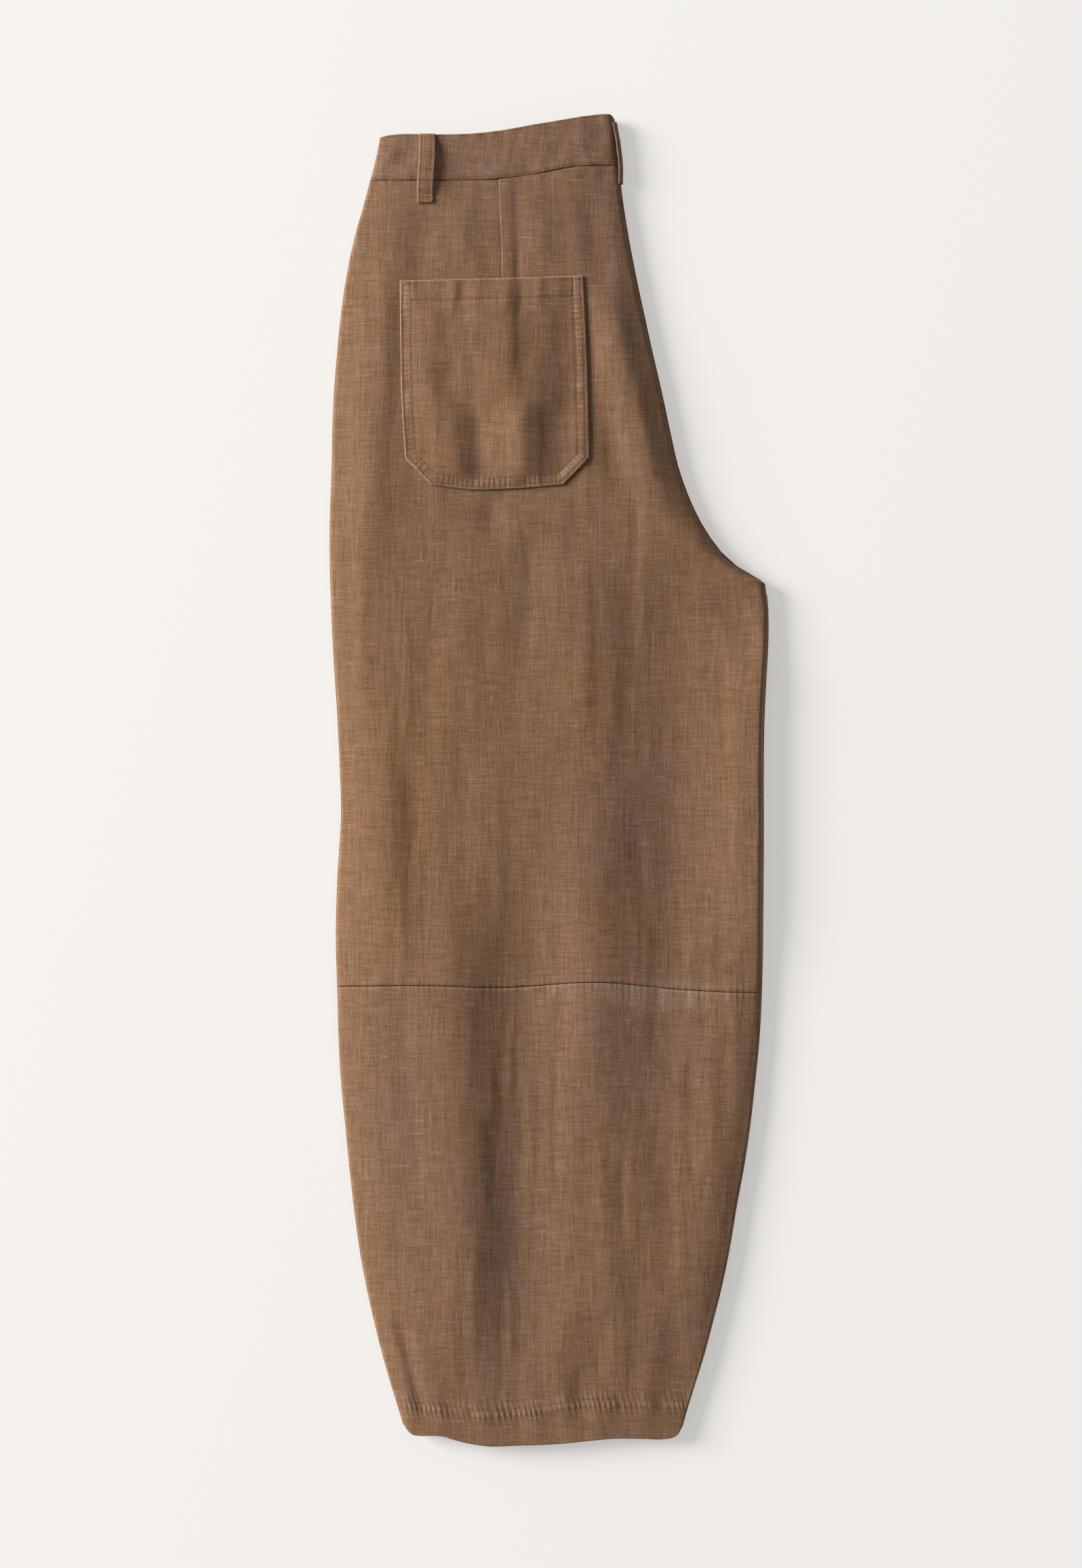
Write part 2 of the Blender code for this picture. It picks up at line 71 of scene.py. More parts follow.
OUTSEAM = [
    Knot(7, -106.5), Knot(27, -112.7), Knot(52, -120.4), Knot(78, -127.5), Knot(108, -134.6),
    Knot(139, -140.8), Knot(200, -148.9), Knot(241, -153.0), Knot(272, -156.1), Knot(343, -159.1),
    Knot(384, -160.1), Knot(425, -159.1), Knot(476, -156.2), Knot(516, -157.4), Knot(547, -158.9),
    Knot(608, -162.7), Knot(685, -164.8), Knot(741, -163.2), Knot(782, -162.2), Knot(823, -159.1),
    Knot(853, -156.1), Knot(884, -151.4), Knot(914, -144.8), Knot(935, -138.7), Knot(951, -134.6),
    Knot(966, -130.6), Knot(986, -126.6),
]
INSEAM = [
    Knot(5, 96.0), Knot(16, 100.6), Knot(27, 103.5), Knot(47, 109.7), Knot(68, 116.3),
    Knot(93, 122.9), Knot(119, 129.5), Knot(149, 135.7), Knot(180, 140.8), Knot(210, 146.4),
    Knot(241, 151.0), Knot(272, 154.5), Knot(302, 157.6), Knot(353, 160.1), Knot(404, 160.8),
    Knot(455, 161.2), Knot(516, 161.2), Knot(547, 161.7), Knot(578, 163.2), Knot(608, 164.7),
    Knot(632, 164.4), Knot(649.2, 162.6),
]
SEAT = [
    Knot(649.2, 162.6), Knot(654.5, 152.5), Knot(660, 143.5), Knot(670, 131.6), Knot(680, 123.4),
    Knot(690, 116.8), Knot(702, 110.2), Knot(715, 104.5), Knot(735, 97.4), Knot(761, 91.3),
    Knot(792, 84.7), Knot(823, 77.5), Knot(853, 70.9), Knot(884, 64.3), Knot(914, 58.7),
    Knot(945, 54.1), Knot(963, 52.2), Knot(975, 50.5), Knot(985, 49.8), Knot(1001, 48.8),
]
HEM_LINE = [
    Knot(0, 15), Knot(0.012, 11.5), Knot(0.03, 8.4), Knot(0.05, 7.8), Knot(0.11, 7.9),
    Knot(0.14, 7.4), Knot(0.17, 5.4), Knot(0.23, 2.2), Knot(0.3, 0.1), Knot(0.42, 0.6),
    Knot(0.5, 1.1), Knot(0.56, 1.8), Knot(0.66, 3.9), Knot(0.75, 5.6), Knot(0.86, 5.4),
    Knot(0.94, 5.1), Knot(0.975, 6.7), Knot(0.99, 9.0), Knot(1, 13),
]
KNEE_LINE = [
    Knot(0, 345.8), Knot(0.2, 346.8), Knot(0.42, 345.3), Knot(0.5, 347.2), Knot(0.56, 348.7),
    Knot(0.63, 348.8), Knot(0.7, 347.0), Knot(0.8, 343.6), Knot(0.9, 341.8), Knot(1, 340.7),
]
WAIST_LINE = [
    Knot(0, 952.2), Knot(0.19, 952.0), Knot(0.4, 952.2), Knot(0.51, 952.8), Knot(0.65, 956.2),
    Knot(0.82, 962.2), Knot(1, 963.6),
]
TOP_LINE = [
    Knot(0, 984.6), Knot(0.02, 985.4), Knot(0.25, 986.4), Knot(0.4, 987.2), Knot(0.52, 989.6),
    Knot(0.64, 993.4), Knot(0.76, 997.0), Knot(0.88, 1000.5), Knot(0.96, 1001.9),
    Knot(0.985, 1001.4), Knot(1, 998.6),
]
DOME = [
    Knot(0, 3.2), Knot(110, 5.6), Knot(345, 6.8), Knot(650, 6.4), Knot(850, 5.2), Knot(950, 3.6),
    Knot(1002, 2.4),
]


def smooth_through(knots, at):
    """The values of the smooth curve that passes through all the knots."""
    places = np.array([knot.at for knot in knots])
    values = np.array([knot.value for knot in knots])
    slopes = np.gradient(values, places)
    at = np.clip(np.asarray(at, float), places[0], places[-1])
    i = np.clip(np.searchsorted(places, at) - 1, 0, len(places) - 2)
    step = places[i + 1] - places[i]
    t = (at - places[i]) / step
    return (
        values[i] * (1 + 2 * t) * (1 - t) ** 2
        + values[i + 1] * t * t * (3 - 2 * t)
        + step * slopes[i] * t * (1 - t) ** 2
        - step * slopes[i + 1] * t * t * (1 - t)
    )


def soft_step(share):
    share = np.clip(share, 0, 1)
    return share * share * (3 - 2 * share)


def rising(share):
    return 1 - (1 - np.clip(share, 0, 1)) ** LOFT_CURVE


def blend(a, b, share):
    return a + (b - a) * share


def hump(away, reach):
    """1 where away is 0, falling softly to 0 on both sides past the reach."""
    return np.exp(-((away / reach) ** 2))


def fading(away, reach):
    """1 where away is 0, falling fast at first and then slowly."""
    return np.exp(-away / reach)


def side_x(up):
    return smooth_through(OUTSEAM, up / MM) * MM


def seat_x(up):
    below = smooth_through(INSEAM, up / MM)
    above = smooth_through(SEAT, up / MM)
    return np.where(up < CROTCH_UP, below, above) * MM


def line_up(knots, share):
    return smooth_through(knots, share) * MM


# Folds
# The cloth was washed and laid down by hand: long soft folds run down the leg from the
# seat and from the knee, and short creases start at the seams.

SIDE_SOFTNESS = 46 * MM
KNEE_SOFTNESS = 22 * MM
THIGH_SOFTNESS = 6 * MM
FOLD_FADE = 22 * MM
FOLD_END = 0.28
SEAT_SAG = 0.8
SAG_X = 30 * MM
SAG_WIDTH = 66 * MM
SAG_TOP = 690 * MM
SAG_FADE = 70 * MM
KNEE_TOP = 380 * MM
KNEE_FADE = 160 * MM
SEAT_FOOT = 740 * MM
SEAT_FADE = 110 * MM


class Fold(NamedTuple):
    """A ridge, or a trough if high is negative, through three points, in millimetres.

    left and right are how far it reaches to each side.
    """

    x0: float
    up0: float
    x1: float
    up1: float
    x2: float
    up2: float
    left: float
    right: float
    high: float


FOLDS = [
    Fold(-84, 470, -68, 240, -56, 20, 40, 25, 4.8),
    Fold(-16, 480, -22, 250, -20, 30, 24, 36, -3.4),
    Fold(20, 520, 23, 430, 30, 250, 15, 36, 1.9),
    Fold(100, 690, 98, 500, 92, 320, 26, 30, -1.2),
    Fold(164, 655, 160, 500, 152, 330, 32, 14, 4.2),
    Fold(140, 390, 124, 240, 92, 40, 30, 18, 2.2),
    Fold(64, 250, 66, 150, 48, 20, 30, 22, 1.4),
    Fold(-56, 712, -62, 603, -72, 490, 17, 19, 1.1),
    Fold(38, 900, 62, 800, 102, 690, 17, 13, 2.6),
    Fold(26, 880, 38, 790, 62, 690, 11, 11, -1.5),
    Fold(-122, 905, -130, 780, -130, 640, 18, 12, 1.5),
    Fold(-14, 700, -16, 600, -24, 520, 13, 15, -1.1),
    Fold(18, 690, 24, 600, 22, 520, 12, 10, 1.1),
    Fold(54, 690, 60, 590, 62, 480, 13, 11, -1.1),
    Fold(-126, 560, -120, 440, -112, 330, 18, 12, 1.3),
    Fold(-104, 540, -100, 440, -92, 352, 9, 12, -0.9),
    Fold(-116, 110, -103, 56, -90, 8, 5, 8, -1.4),
    Fold(13, 120, 4, 60, 0, 12, 12, 14, 1.0),
    Fold(84, 120, 78, 60, 72, 12, 9, 11, 1.0),
    Fold(40, 110, 36, 60, 30, 20, 12, 10, -1.2),
    Fold(136, 640, 146, 612, 156, 585, 10, 9, -1.4),
    Fold(-14, 950, -8, 915, -6, 885, 9, 10, 1.0),
    Fold(28, 950, 34, 905, 42, 860, 8, 11, -1.2),
    Fold(-92, 940, -96, 900, -98, 860, 11, 10, -1.1),
    Fold(-60, 945, -66, 915, -62, 885, 9, 9, 0.8),
]
SMALL_FOLDS = 170
SMALL_FOLD_SEED = 11
SMALL_FOLD_UP = (50, 920)
SMALL_FOLD_LONG = (40, 170)
SMALL_FOLD_WIDE = (3.5, 8)
SMALL_FOLD_HIGH = (0.12, 0.42)
SMALL_FOLD_LEAN = 6
SMALL_FOLD_MARGIN = 12
CHANCES = 997


def fold_height(fold, x, up):
    """One fold's height at each point, faded out at both of its ends."""
    t = (up - fold.up0 * MM) / ((fold.up2 - fold.up0) * MM)
    middle = (fold.up1 - fold.up0) / (fold.up2 - fold.up0)
    bend = (fold.x1 - blend(fold.x0, fold.x2, middle)) / (middle * (middle - 1))
    centre = (blend(fold.x0, fold.x2, t) + bend * t * (t - 1)) * MM
    slope = ((fold.x2 - fold.x0) + bend * (2 * t - 1)) / (fold.up2 - fold.up0)
    aside = (x - centre) / np.sqrt(1 + slope**2)
    reach = np.where(aside < 0, fold.left, fold.right) * MM
    ends = soft_step(t / FOLD_END) * soft_step((1 - t) / FOLD_END)
    return fold.high * MM * hump(aside, reach) * ends


def small_folds():
    """Short, faint folds down the leg, uneven in place, length and depth."""
    chance = np.random.RandomState(SMALL_FOLD_SEED)
    folds = []
    for _ in range(SMALL_FOLDS):
        up = chance.uniform(*SMALL_FOLD_UP)
        half = chance.uniform(*SMALL_FOLD_LONG) / 2
        left = float(side_x(up * MM)) / MM + SMALL_FOLD_MARGIN
        right = float(seat_x(up * MM)) / MM - SMALL_FOLD_MARGIN
        x = chance.uniform(left, right)
        lean = chance.uniform(-SMALL_FOLD_LEAN, SMALL_FOLD_LEAN)
        wide = chance.uniform(*SMALL_FOLD_WIDE)
        high = chance.choice([-1, 1]) * chance.uniform(*SMALL_FOLD_HIGH)
        folds.append(Fold(x, up + half, x + lean, up, x + lean / 2, up - half, wide, wide, high))
    return folds


ALL_FOLDS = FOLDS + small_folds()


def puckers(along, pitch, seed):
    """Gathers a pitch apart along a seam, uneven in place and in depth."""
    shifted = along + 0.45 * pitch * uneven(along, 2.3 * pitch, seed)
    depth = 0.65 + 0.55 * uneven(along, 2.9 * pitch, seed + 500)
    return np.sin(2 * np.pi * shifted / pitch) * depth


def right_softness(up):
    """How far in the right side slopes off: gently at the seat, close to its edge below."""
    below = blend(THIGH_SOFTNESS, KNEE_SOFTNESS, soft_step((KNEE_TOP - up) / KNEE_FADE))
    return blend(SIDE_SOFTNESS, below, soft_step((SEAT_FOOT - up) / SEAT_FADE))


def uneven(along, pitch, seed):
    """Smooth chance between -1 and 1, changing about once every pitch."""
    table = np.random.RandomState(seed).uniform(-1, 1, CHANCES)
    at = np.asarray(along, float) / pitch
    low = np.floor(at).astype(int)
    t = soft_step(at - low)
    return blend(table[low % CHANCES], table[(low + 1) % CHANCES], t)


def loft_height(x, up, left, right):
    """Top of the folded garment over the floor, without its rolled edges."""
    dome = smooth_through(DOME, up / MM) * MM
    sag = SEAT_SAG * soft_step((x - SAG_X) / SAG_WIDTH) * soft_step((SAG_TOP - up) / SAG_FADE)
    reach = right_softness(up)
    dome = dome * (1 - sag) * rising((x - left) / SIDE_SOFTNESS) * rising((right - x) / reach)
    folds = sum(fold_height(fold, x, up) for fold in ALL_FOLDS)
    inside = soft_step((x - left) / FOLD_FADE) * soft_step((right - x) / (reach / 2))
    return EDGE_TOP + dome + folds * inside


def roll_drop(distance):
    """How far a rolled edge has dropped, this far in from its seam, both in rolls."""
    inside = np.clip(1 - distance, 0, 1)
    return 1 - np.sqrt(1 - inside**2)


def seat_share(up):
    """1 where the right edge is one fold at the centre back, 0 where it is two inseams."""
    return soft_step((up - CROTCH_UP) / CROTCH_FADE)


def right_roll(up):
    return blend(LEG_ROLL, EDGE_TOP / 2, seat_share(up))


def slant_of_seat(up):
    run = (seat_x(up + MM) - seat_x(up - MM)) / (2 * MM)
    return np.minimum(np.hypot(1, run), STEEPEST_SEAT)


class Lie:
    """Where each point of a piece lies: a grid of x, height over the hem, and share."""

    def __init__(self, low, high, parts, columns, shift=0.0):
        """low and high are lines across the garment, parts each row's share between them.

        columns is their number between the rolled edges, shift how far past the outline.
        """
        parts = np.asarray(parts)[:, None]
        left_up = blend(low(0.0), high(0.0), parts)
        right_up = blend(low(1.0), high(1.0), parts)
        self.left, self.right = side_x(left_up) - shift, seat_x(right_up) + shift
        self.right_roll = right_roll(right_up) + shift
        self.left_roll = LEG_ROLL + shift
        self.right_reach = self.right_roll * slant_of_seat(right_up)
        curl = 1 - np.cos(np.radians(np.arange(0, 90, 15)))
        middle = np.linspace(0, 1, columns + 1)
        start, end = self.left + self.left_roll, self.right - self.right_reach
        self.x = np.concatenate(
            [
                self.left + self.left_roll * curl,
                blend(start, end, middle),
                self.right - self.right_reach * curl[::-1],
            ],
            axis=1,
        )
        self.share = (self.x - self.left) / (self.right - self.left)
        self.up = blend(low(self.share), high(self.share), parts)

    def skin(self):
        """Height of the upper skin at each point, with its edges rolled down."""
        z = loft_height(self.x, self.up, self.left, self.right)
        z = z - self.left_roll * roll_drop((self.x - self.left) / self.left_roll)
        return z - self.right_roll * roll_drop((self.right - self.x) / self.right_reach)

    def rounded(self):
        """0 at the seams and 1 inside, for what fades out where the edges roll."""
        from_side = np.minimum(self.x - self.left, self.right - self.x)
        return soft_step(from_side / (6 * MM))


def rows_near(start, end, step, fine_start, fine_end):
    """Heights from start to end, a step apart, closer together near a fine end."""
    close = np.array([0, 0.35, 0.7, 1.1, 1.6, 2.3, 3.2, 4.4, 6.0]) * MM
    first = start + close if fine_start else np.array([start])
    last = end - close[::-1] if fine_end else np.array([end])
    count = max(1, round((last[0] - first[-1]) / step))
    return np.concatenate([first, np.linspace(first[-1], last[0], count + 1)[1:-1], last])


def cloth_grid(name, points, flat_x, flat_up):
    """A grid laid through the points, with the cloth's own flat coordinates as its UV."""
    rows, columns = points.shape[:2]
    bpy.ops.mesh.primitive_grid_add(x_subdivisions=columns - 1, y_subdivisions=rows - 1, size=1)
    piece = bpy.context.object
    piece.name = name
    mesh = piece.data
    mesh.vertices.foreach_set("co", points.reshape(-1, 3).astype(np.float32).ravel())
    corner = np.empty(len(mesh.loops), np.int32)
    mesh.loops.foreach_get("vertex_index", corner)
    flat = np.stack([flat_x.ravel()[corner], flat_up.ravel()[corner]], axis=1)
    layer = mesh.uv_layers[0] if mesh.uv_layers else mesh.uv_layers.new()
    layer.name = "cloth"
    layer.data.foreach_set("uv", flat.astype(np.float32).ravel())
    mesh.update()
    bpy.ops.object.shade_smooth()
    return piece


def paint(piece, **looks):
    """Stores each look's strength at every point of the cloth, for its material to read."""
    for name, strength in looks.items():
        layer = piece.data.attributes.new(name, "FLOAT", "POINT")
        each = np.full(len(layer.data), np.ravel(strength), np.float32)
        layer.data.foreach_set("value", each)


def give_thickness(piece, thickness, side=-1):
    solidify = piece.modifiers.new("cloth", "SOLIDIFY")
    solidify.thickness = thickness
    solidify.offset = side
    bpy.context.view_layer.objects.active = piece
    bpy.ops.object.modifier_apply(modifier=solidify.name)
    bpy.ops.object.select_all(action="DESELECT")


def stack_points(x, up, z):
    return np.stack([x, up - LENGTH / 2, z], axis=2)


# Linen
# Yarn dyed cloth: golden brown and mauve brown yarns, uneven and slubby, washed until the
# raised edges turned pale. It is a plain weave with a yarn every 0.7 mm or so. Painted
# highlight pales the crests of puckers and a line beside the dart, and painted shade
# darkens seams, stitch rows, pucker troughs, the centre back loop and the hidden layers.

GOLD_BROWN = (0.208, 0.108, 0.048, 1)
MAUVE_BROWN = (0.187, 0.107, 0.075, 1)
# Painted shade: the colour that seams, stitch rows, pucker troughs, the centre back loop and the
# hidden layers are darkened towards
PAINTED_SHADE_BROWN = (0.070, 0.035, 0.019, 1)
PALE_YARN = (0.38, 0.26, 0.165, 1)
# Pale colour of wear on edges and seams, also used as painted highlight on pucker crests and beside
# the dart
PALE_WEAR_AND_HIGHLIGHT = (0.36, 0.25, 0.185, 1)
WARP_YARN = 0.67 * MM
WEFT_YARN = 0.77 * MM
GRAIN_DRIFT = 0.6 * MM
YARN_STRIDE = 7.31


def add_node(tree, kind, **settings):
    made = tree.nodes.new(kind)
    for key, value in settings.items():
        setattr(made, key, value)
    return made


def yarn_noise(tree, flat, across, along, detail=2.0):
    """Streaks this wide and this long, in millimetres, over the flat cloth."""
    place = add_node(tree, "ShaderNodeMapping")
    place.inputs["Scale"].default_value = (1000 / across, 1000 / along, 1)
    noise = add_node(tree, "ShaderNodeTexNoise", noise_dimensions="2D")
    noise.inputs["Scale"].default_value = 1.0
    noise.inputs["Detail"].default_value = detail
    noise.inputs["Roughness"].default_value = 0.6
    tree.links.new(flat, place.inputs["Vector"])
    tree.links.new(place.outputs["Vector"], noise.inputs["Vector"])
    return noise.outputs["Fac"]


def spread(tree, value, low, high, to_low=0.0, to_high=1.0):
    place = add_node(tree, "ShaderNodeMapRange", clamp=True)
    for key, number in (
        ("From Min", low), ("From Max", high), ("To Min", to_low), ("To Max", to_high),
    ):
        place.inputs[key].default_value = number
    tree.links.new(value, place.inputs["Value"])
    return place.outputs["Result"]


def swing(tree, noise, reach, middle=0.0):
    """Noise turned into a number that swings by reach to both sides of the middle."""
    return spread(tree, noise, 0.25, 0.75, middle - reach, middle + reach)


def reckon(tree, kind, a, b):
    made = add_node(tree, "ShaderNodeMath", operation=kind)
    for socket, value in zip(made.inputs, (a, b)):
        if isinstance(value, (int, float)):
            socket.default_value = value
        else:
            tree.links.new(value, socket)
    return made.outputs["Value"]


def tint(tree, share, under, over, kind="MIX"):
    """over laid on under by share. Either colour may be a value or a socket."""
    made = add_node(tree, "ShaderNodeMix", data_type="RGBA", blend_type=kind)
    for socket, value in ((made.inputs[0], share), (made.inputs[6], under), (made.inputs[7], over)):
        if isinstance(value, (int, float, tuple)):
            socket.default_value = value
        else:
            tree.links.new(value, socket)
    return made.outputs[2]


def painted(tree, name):
    return add_node(tree, "ShaderNodeAttribute", attribute_name=name).outputs["Fac"]


def count_of(tree, place, yarn):
    """How many yarns from the start a point lies."""
    return reckon(tree, "MULTIPLY", place, 1 / yarn)


def each_yarn(tree, count, along, length, seed, detail=2.0):
    """Smooth chance along every yarn, with a different run on each one."""
    own = reckon(tree, "MULTIPLY", reckon(tree, "FLOOR", count, 0.0), YARN_STRIDE)
    place = add_node(tree, "ShaderNodeCombineXYZ")
    tree.links.new(reckon(tree, "ADD", own, seed), place.inputs["X"])
    tree.links.new(reckon(tree, "MULTIPLY", along, 1000 / length), place.inputs["Y"])
    noise = add_node(tree, "ShaderNodeTexNoise", noise_dimensions="2D")
    noise.inputs["Scale"].default_value = 1.0
    noise.inputs["Detail"].default_value = detail
    tree.links.new(place.outputs["Vector"], noise.inputs["Vector"])
    return noise.outputs["Fac"]


def sum_of(tree, values):
    total = values[0]
    for value in values[1:]:
        total = reckon(tree, "ADD", total, value)
    return total


class Weave(NamedTuple):
    """Sockets of the yarns' own variation and slubs, and of which yarn lies on top."""

    warp: object
    weft: object
    warp_slub: object
    weft_slub: object
    over: object


def flat_cloth(tree, turn):
    """The cloth's own flat coordinates, turned to the slant of its grain."""
    cloth = add_node(tree, "ShaderNodeUVMap", uv_map="cloth")
    grain = add_node(tree, "ShaderNodeMapping")
    grain.inputs["Rotation"].default_value = (0, 0, turn)
    tree.links.new(cloth.outputs["UV"], grain.inputs["Vector"])
    return grain.outputs["Vector"]


def woven(tree, flat):
    """A plain weave of uneven yarns. over is 1 where the weft lies on top, -1 the warp."""
    wander = yarn_noise(tree, flat, 45, 45, 0.0)
    drift = spread(tree, wander, 0.2, 0.8, -GRAIN_DRIFT, GRAIN_DRIFT)
    place = add_node(tree, "ShaderNodeSeparateXYZ")
    tree.links.new(flat, place.inputs["Vector"])
    x = reckon(tree, "ADD", place.outputs["X"], drift)
    y = reckon(tree, "ADD", place.outputs["Y"], drift)
    warps, wefts = count_of(tree, x, WARP_YARN), count_of(tree, y, WEFT_YARN)
    across = reckon(tree, "SINE", reckon(tree, "MULTIPLY", warps, math.pi), 0.0)
    along = reckon(tree, "SINE", reckon(tree, "MULTIPLY", wefts, math.pi), 0.0)
    return Weave(
        warp=each_yarn(tree, warps, y, 22, 0.4),
        weft=each_yarn(tree, wefts, x, 18, 3.9),
        warp_slub=each_yarn(tree, warps, y, 9, 87.3, 0.0),
        weft_slub=each_yarn(tree, wefts, x, 13, 61.7, 0.0),
        over=reckon(tree, "MULTIPLY", across, along),
    )


def yarn_colour(tree, flat, weave, streak):
    """Golden and mauve yarns, each with a hue of its own, the upper one showing."""
    patch = yarn_noise(tree, flat, 30, 60, 3.0)
    hue = sum_of(tree, [
        spread(tree, patch, 0.38, 0.62, -0.05, 0.15),
        spread(tree, streak, 0.3, 0.7, -0.05, 0.2),
        painted(tree, "mauve"),
    ])
    warp_hue = reckon(tree, "ADD", hue, spread(tree, weave.warp, 0.35, 0.65, -0.5, 0.5))
    weft_hue = sum_of(tree, [hue, spread(tree, weave.weft, 0.35, 0.65, -0.4, 0.6), 0.25])
    warp_colour = tint(tree, spread(tree, warp_hue, 0, 1), GOLD_BROWN, MAUVE_BROWN)
    weft_colour = tint(tree, spread(tree, weft_hue, 0, 1), GOLD_BROWN, MAUVE_BROWN)
    return tint(tree, spread(tree, weave.over, -0.3, 0.3), warp_colour, weft_colour)


def linen(name, turn=0.0, shade=1.0):
    """The trousers' cloth. turn is the grain's slant, shade darkens a hidden layer with painted
    shade.
    """
    material = bpy.data.materials.new(name)
    material.use_nodes = True
    tree = material.node_tree
    shader = tree.nodes["Principled BSDF"]
    flat = flat_cloth(tree, turn)
    weave = woven(tree, flat)
    streak = yarn_noise(tree, flat, 2.2, 55)
    speck = yarn_noise(tree, flat, 1.2, 1.2, 1.0)
    light = sum_of(tree, [
        swing(tree, weave.warp, 0.22, 1.0),
        swing(tree, weave.weft, 0.2),
        swing(tree, streak, 0.09),
        swing(tree, speck, 0.12),
        spread(tree, weave.over, -1, 1, 0.62, -0.62),
    ])
    colour = tint(tree, 1.0, yarn_colour(tree, flat, weave, streak), light, "MULTIPLY")
    slubs = reckon(
        tree, "MAXIMUM",
        spread(tree, weave.weft_slub, 0.76, 0.95, 0, 0.4),
        spread(tree, weave.warp_slub, 0.76, 0.95, 0, 0.4),
    )
    colour = tint(tree, slubs, colour, PALE_YARN)
    # Pale marks painted on each piece: real wear on edges and seams, and painted highlight on
    # pucker crests and beside the dart
    wear_and_highlight_share = reckon(
        tree, "MULTIPLY", painted(tree, "worn"), spread(tree, speck, 0.35, 0.6, 0.25, 1)
    )
    wear_and_highlight_share = reckon(tree, "MULTIPLY", wear_and_highlight_share, spread(tree, weave.warp, 0.3, 0.6, 0.4, 1))
    colour = tint(tree, wear_and_highlight_share, colour, PALE_WEAR_AND_HIGHLIGHT)
    # Painted shade in seams, stitch rows and pucker troughs, as strong as each piece paints it
    colour = tint(tree, spread(tree, painted(tree, "deep"), 0, 1), colour, PAINTED_SHADE_BROWN)
    # Painted shade over the whole of a hidden layer
    if shade < 1:
        colour = tint(tree, 1 - shade, colour, PAINTED_SHADE_BROWN)
    tree.links.new(colour, shader.inputs["Base Color"])

    heights = ((weave.warp, 0.6), (weave.weft, 0.5), (speck, 0.6), (weave.over, 0.12))
    relief = sum_of(tree, [reckon(tree, "MULTIPLY", *pair) for pair in heights])
    bump = add_node(tree, "ShaderNodeBump")
    bump.inputs["Strength"].default_value = 0.5
    bump.inputs["Distance"].default_value = 0.22 * MM
    tree.links.new(relief, bump.inputs["Height"])
    tree.links.new(bump.outputs["Normal"], shader.inputs["Normal"])
    tree.links.new(spread(tree, speck, 0.3, 0.7, 0.82, 0.96), shader.inputs["Roughness"])
    shader.inputs["Specular IOR Level"].default_value = 0.2
    shader.inputs["Sheen Weight"].default_value = 0.12
    shader.inputs["Sheen Roughness"].default_value = 0.5
    return material


panel_linen = linen("panel linen")


class Spot(NamedTuple):
    """A soft oval patch: its middle, how far it reaches each way, and its strength."""

    x: float
    up: float
    wide: float
    high: float
    strength: float


MAUVE_SPOTS = [
    Spot(78, 470, 55, 60, 0.42), Spot(-112, 250, 26, 90, 0.4), Spot(-36, 150, 26, 110, 0.42),
    Spot(70, 300, 70, 60, 0.34), Spot(96, 880, 40, 90, 0.35), Spot(-40, 930, 80, 40, 0.3),
    Spot(-100, 20, 40, 40, 0.2), Spot(60, 900, 30, 60, 0.3), Spot(20, 640, 50, 60, 0.15),
    Spot(-120, 500, 60, 150, -0.3), Spot(-20, 560, 60, 50, -0.15), Spot(120, 430, 30, 120, -0.12),
    Spot(20, 60, 60, 60, 0.12), Spot(100, 160, 30, 80, 0.15),
]


def spots_at(spots, x, up):
    total = np.zeros_like(x)
    for spot in spots:
        aside, above = (x / MM - spot.x) / spot.wide, (up / MM - spot.up) / spot.high
        total += spot.strength * np.exp(-(aside**2) - above**2)
    return total


def finish_cloth(piece, material, node=None):
    piece.data.materials.append(material)
    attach(piece, "root")
    if node:
        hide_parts(node)


# Lower back panel
# The part of the back below the knee, cut from one piece of linen, with its bottom edge
# turned up 28 mm and sewn with two rows of stitches.

CLOTH = 1.1 * MM
HEM_ROLL = 0.9 * MM
SEAM_SINK = 0.6 * MM
LOWER_COLUMNS = 300
LOWER_ROWS_APART = 3.6 * MM


def line(knots, shift=0.0):
    return lambda share: line_up(knots, share) + shift


# Hem stitches: share of the width, and height of the upper row over the lowest point
HEM_STITCHES = [
    Knot(0, 35.4), Knot(0.17, 31.2), Knot(0.3, 27.5), Knot(0.46, 30.2), Knot(0.65, 35.4),
    Knot(0.87, 34.9), Knot(1, 34.0),
]
HEM_ROWS_APART = 6.4 * MM
HEM_PUCKER = 4.1 * MM
HEM_WAVE = 7.5 * MM


def hem_relief(share, x, up):
    """Puckers that the two rows of stitches pull into the turned hem."""
    upper = line_up(HEM_STITCHES, share)
    middle = upper - HEM_ROWS_APART / 2
    away = up - middle
    reach = np.where(away > 0, 8 * MM, 7 * MM)
    near = hump(away, reach)
    lean = x + 0.25 * away
    pucker = puckers(lean, HEM_PUCKER, seed=3) * 0.26 + uneven(lean, HEM_WAVE, seed=4) * 0.34
    long_pucker = uneven(x + 0.1 * away, 12 * MM, seed=5) * 0.75 * hump(away, 24 * MM)
    sunk = sum(hump(up - row, 0.9 * MM) for row in (upper, upper - HEM_ROWS_APART))
    ridge = hump(away, 2.2 * MM)
    step = soft_step((upper + 1.4 * MM - up) / (1.5 * MM))
    return (pucker * near + long_pucker - 0.22 * sunk + 0.1 * ridge + 0.25 * step) * MM


def knee_relief(share, x, up):
    """The knee seam's narrow valley and the short puckers on both of its sides."""
    away = up - line_up(KNEE_LINE, share)
    pucker = puckers(x, 4.8 * MM, seed=6) * 0.45 + uneven(x, 9 * MM, seed=7) * 0.55
    near = fading(np.abs(away), 6.5 * MM)
    seam = SEAM_SINK * fading(np.abs(away), 0.8 * MM)
    raised = 0.35 * MM * hump(np.abs(away) - 2.2 * MM, 2.4 * MM)
    return pucker * near * 0.42 * MM - seam + raised


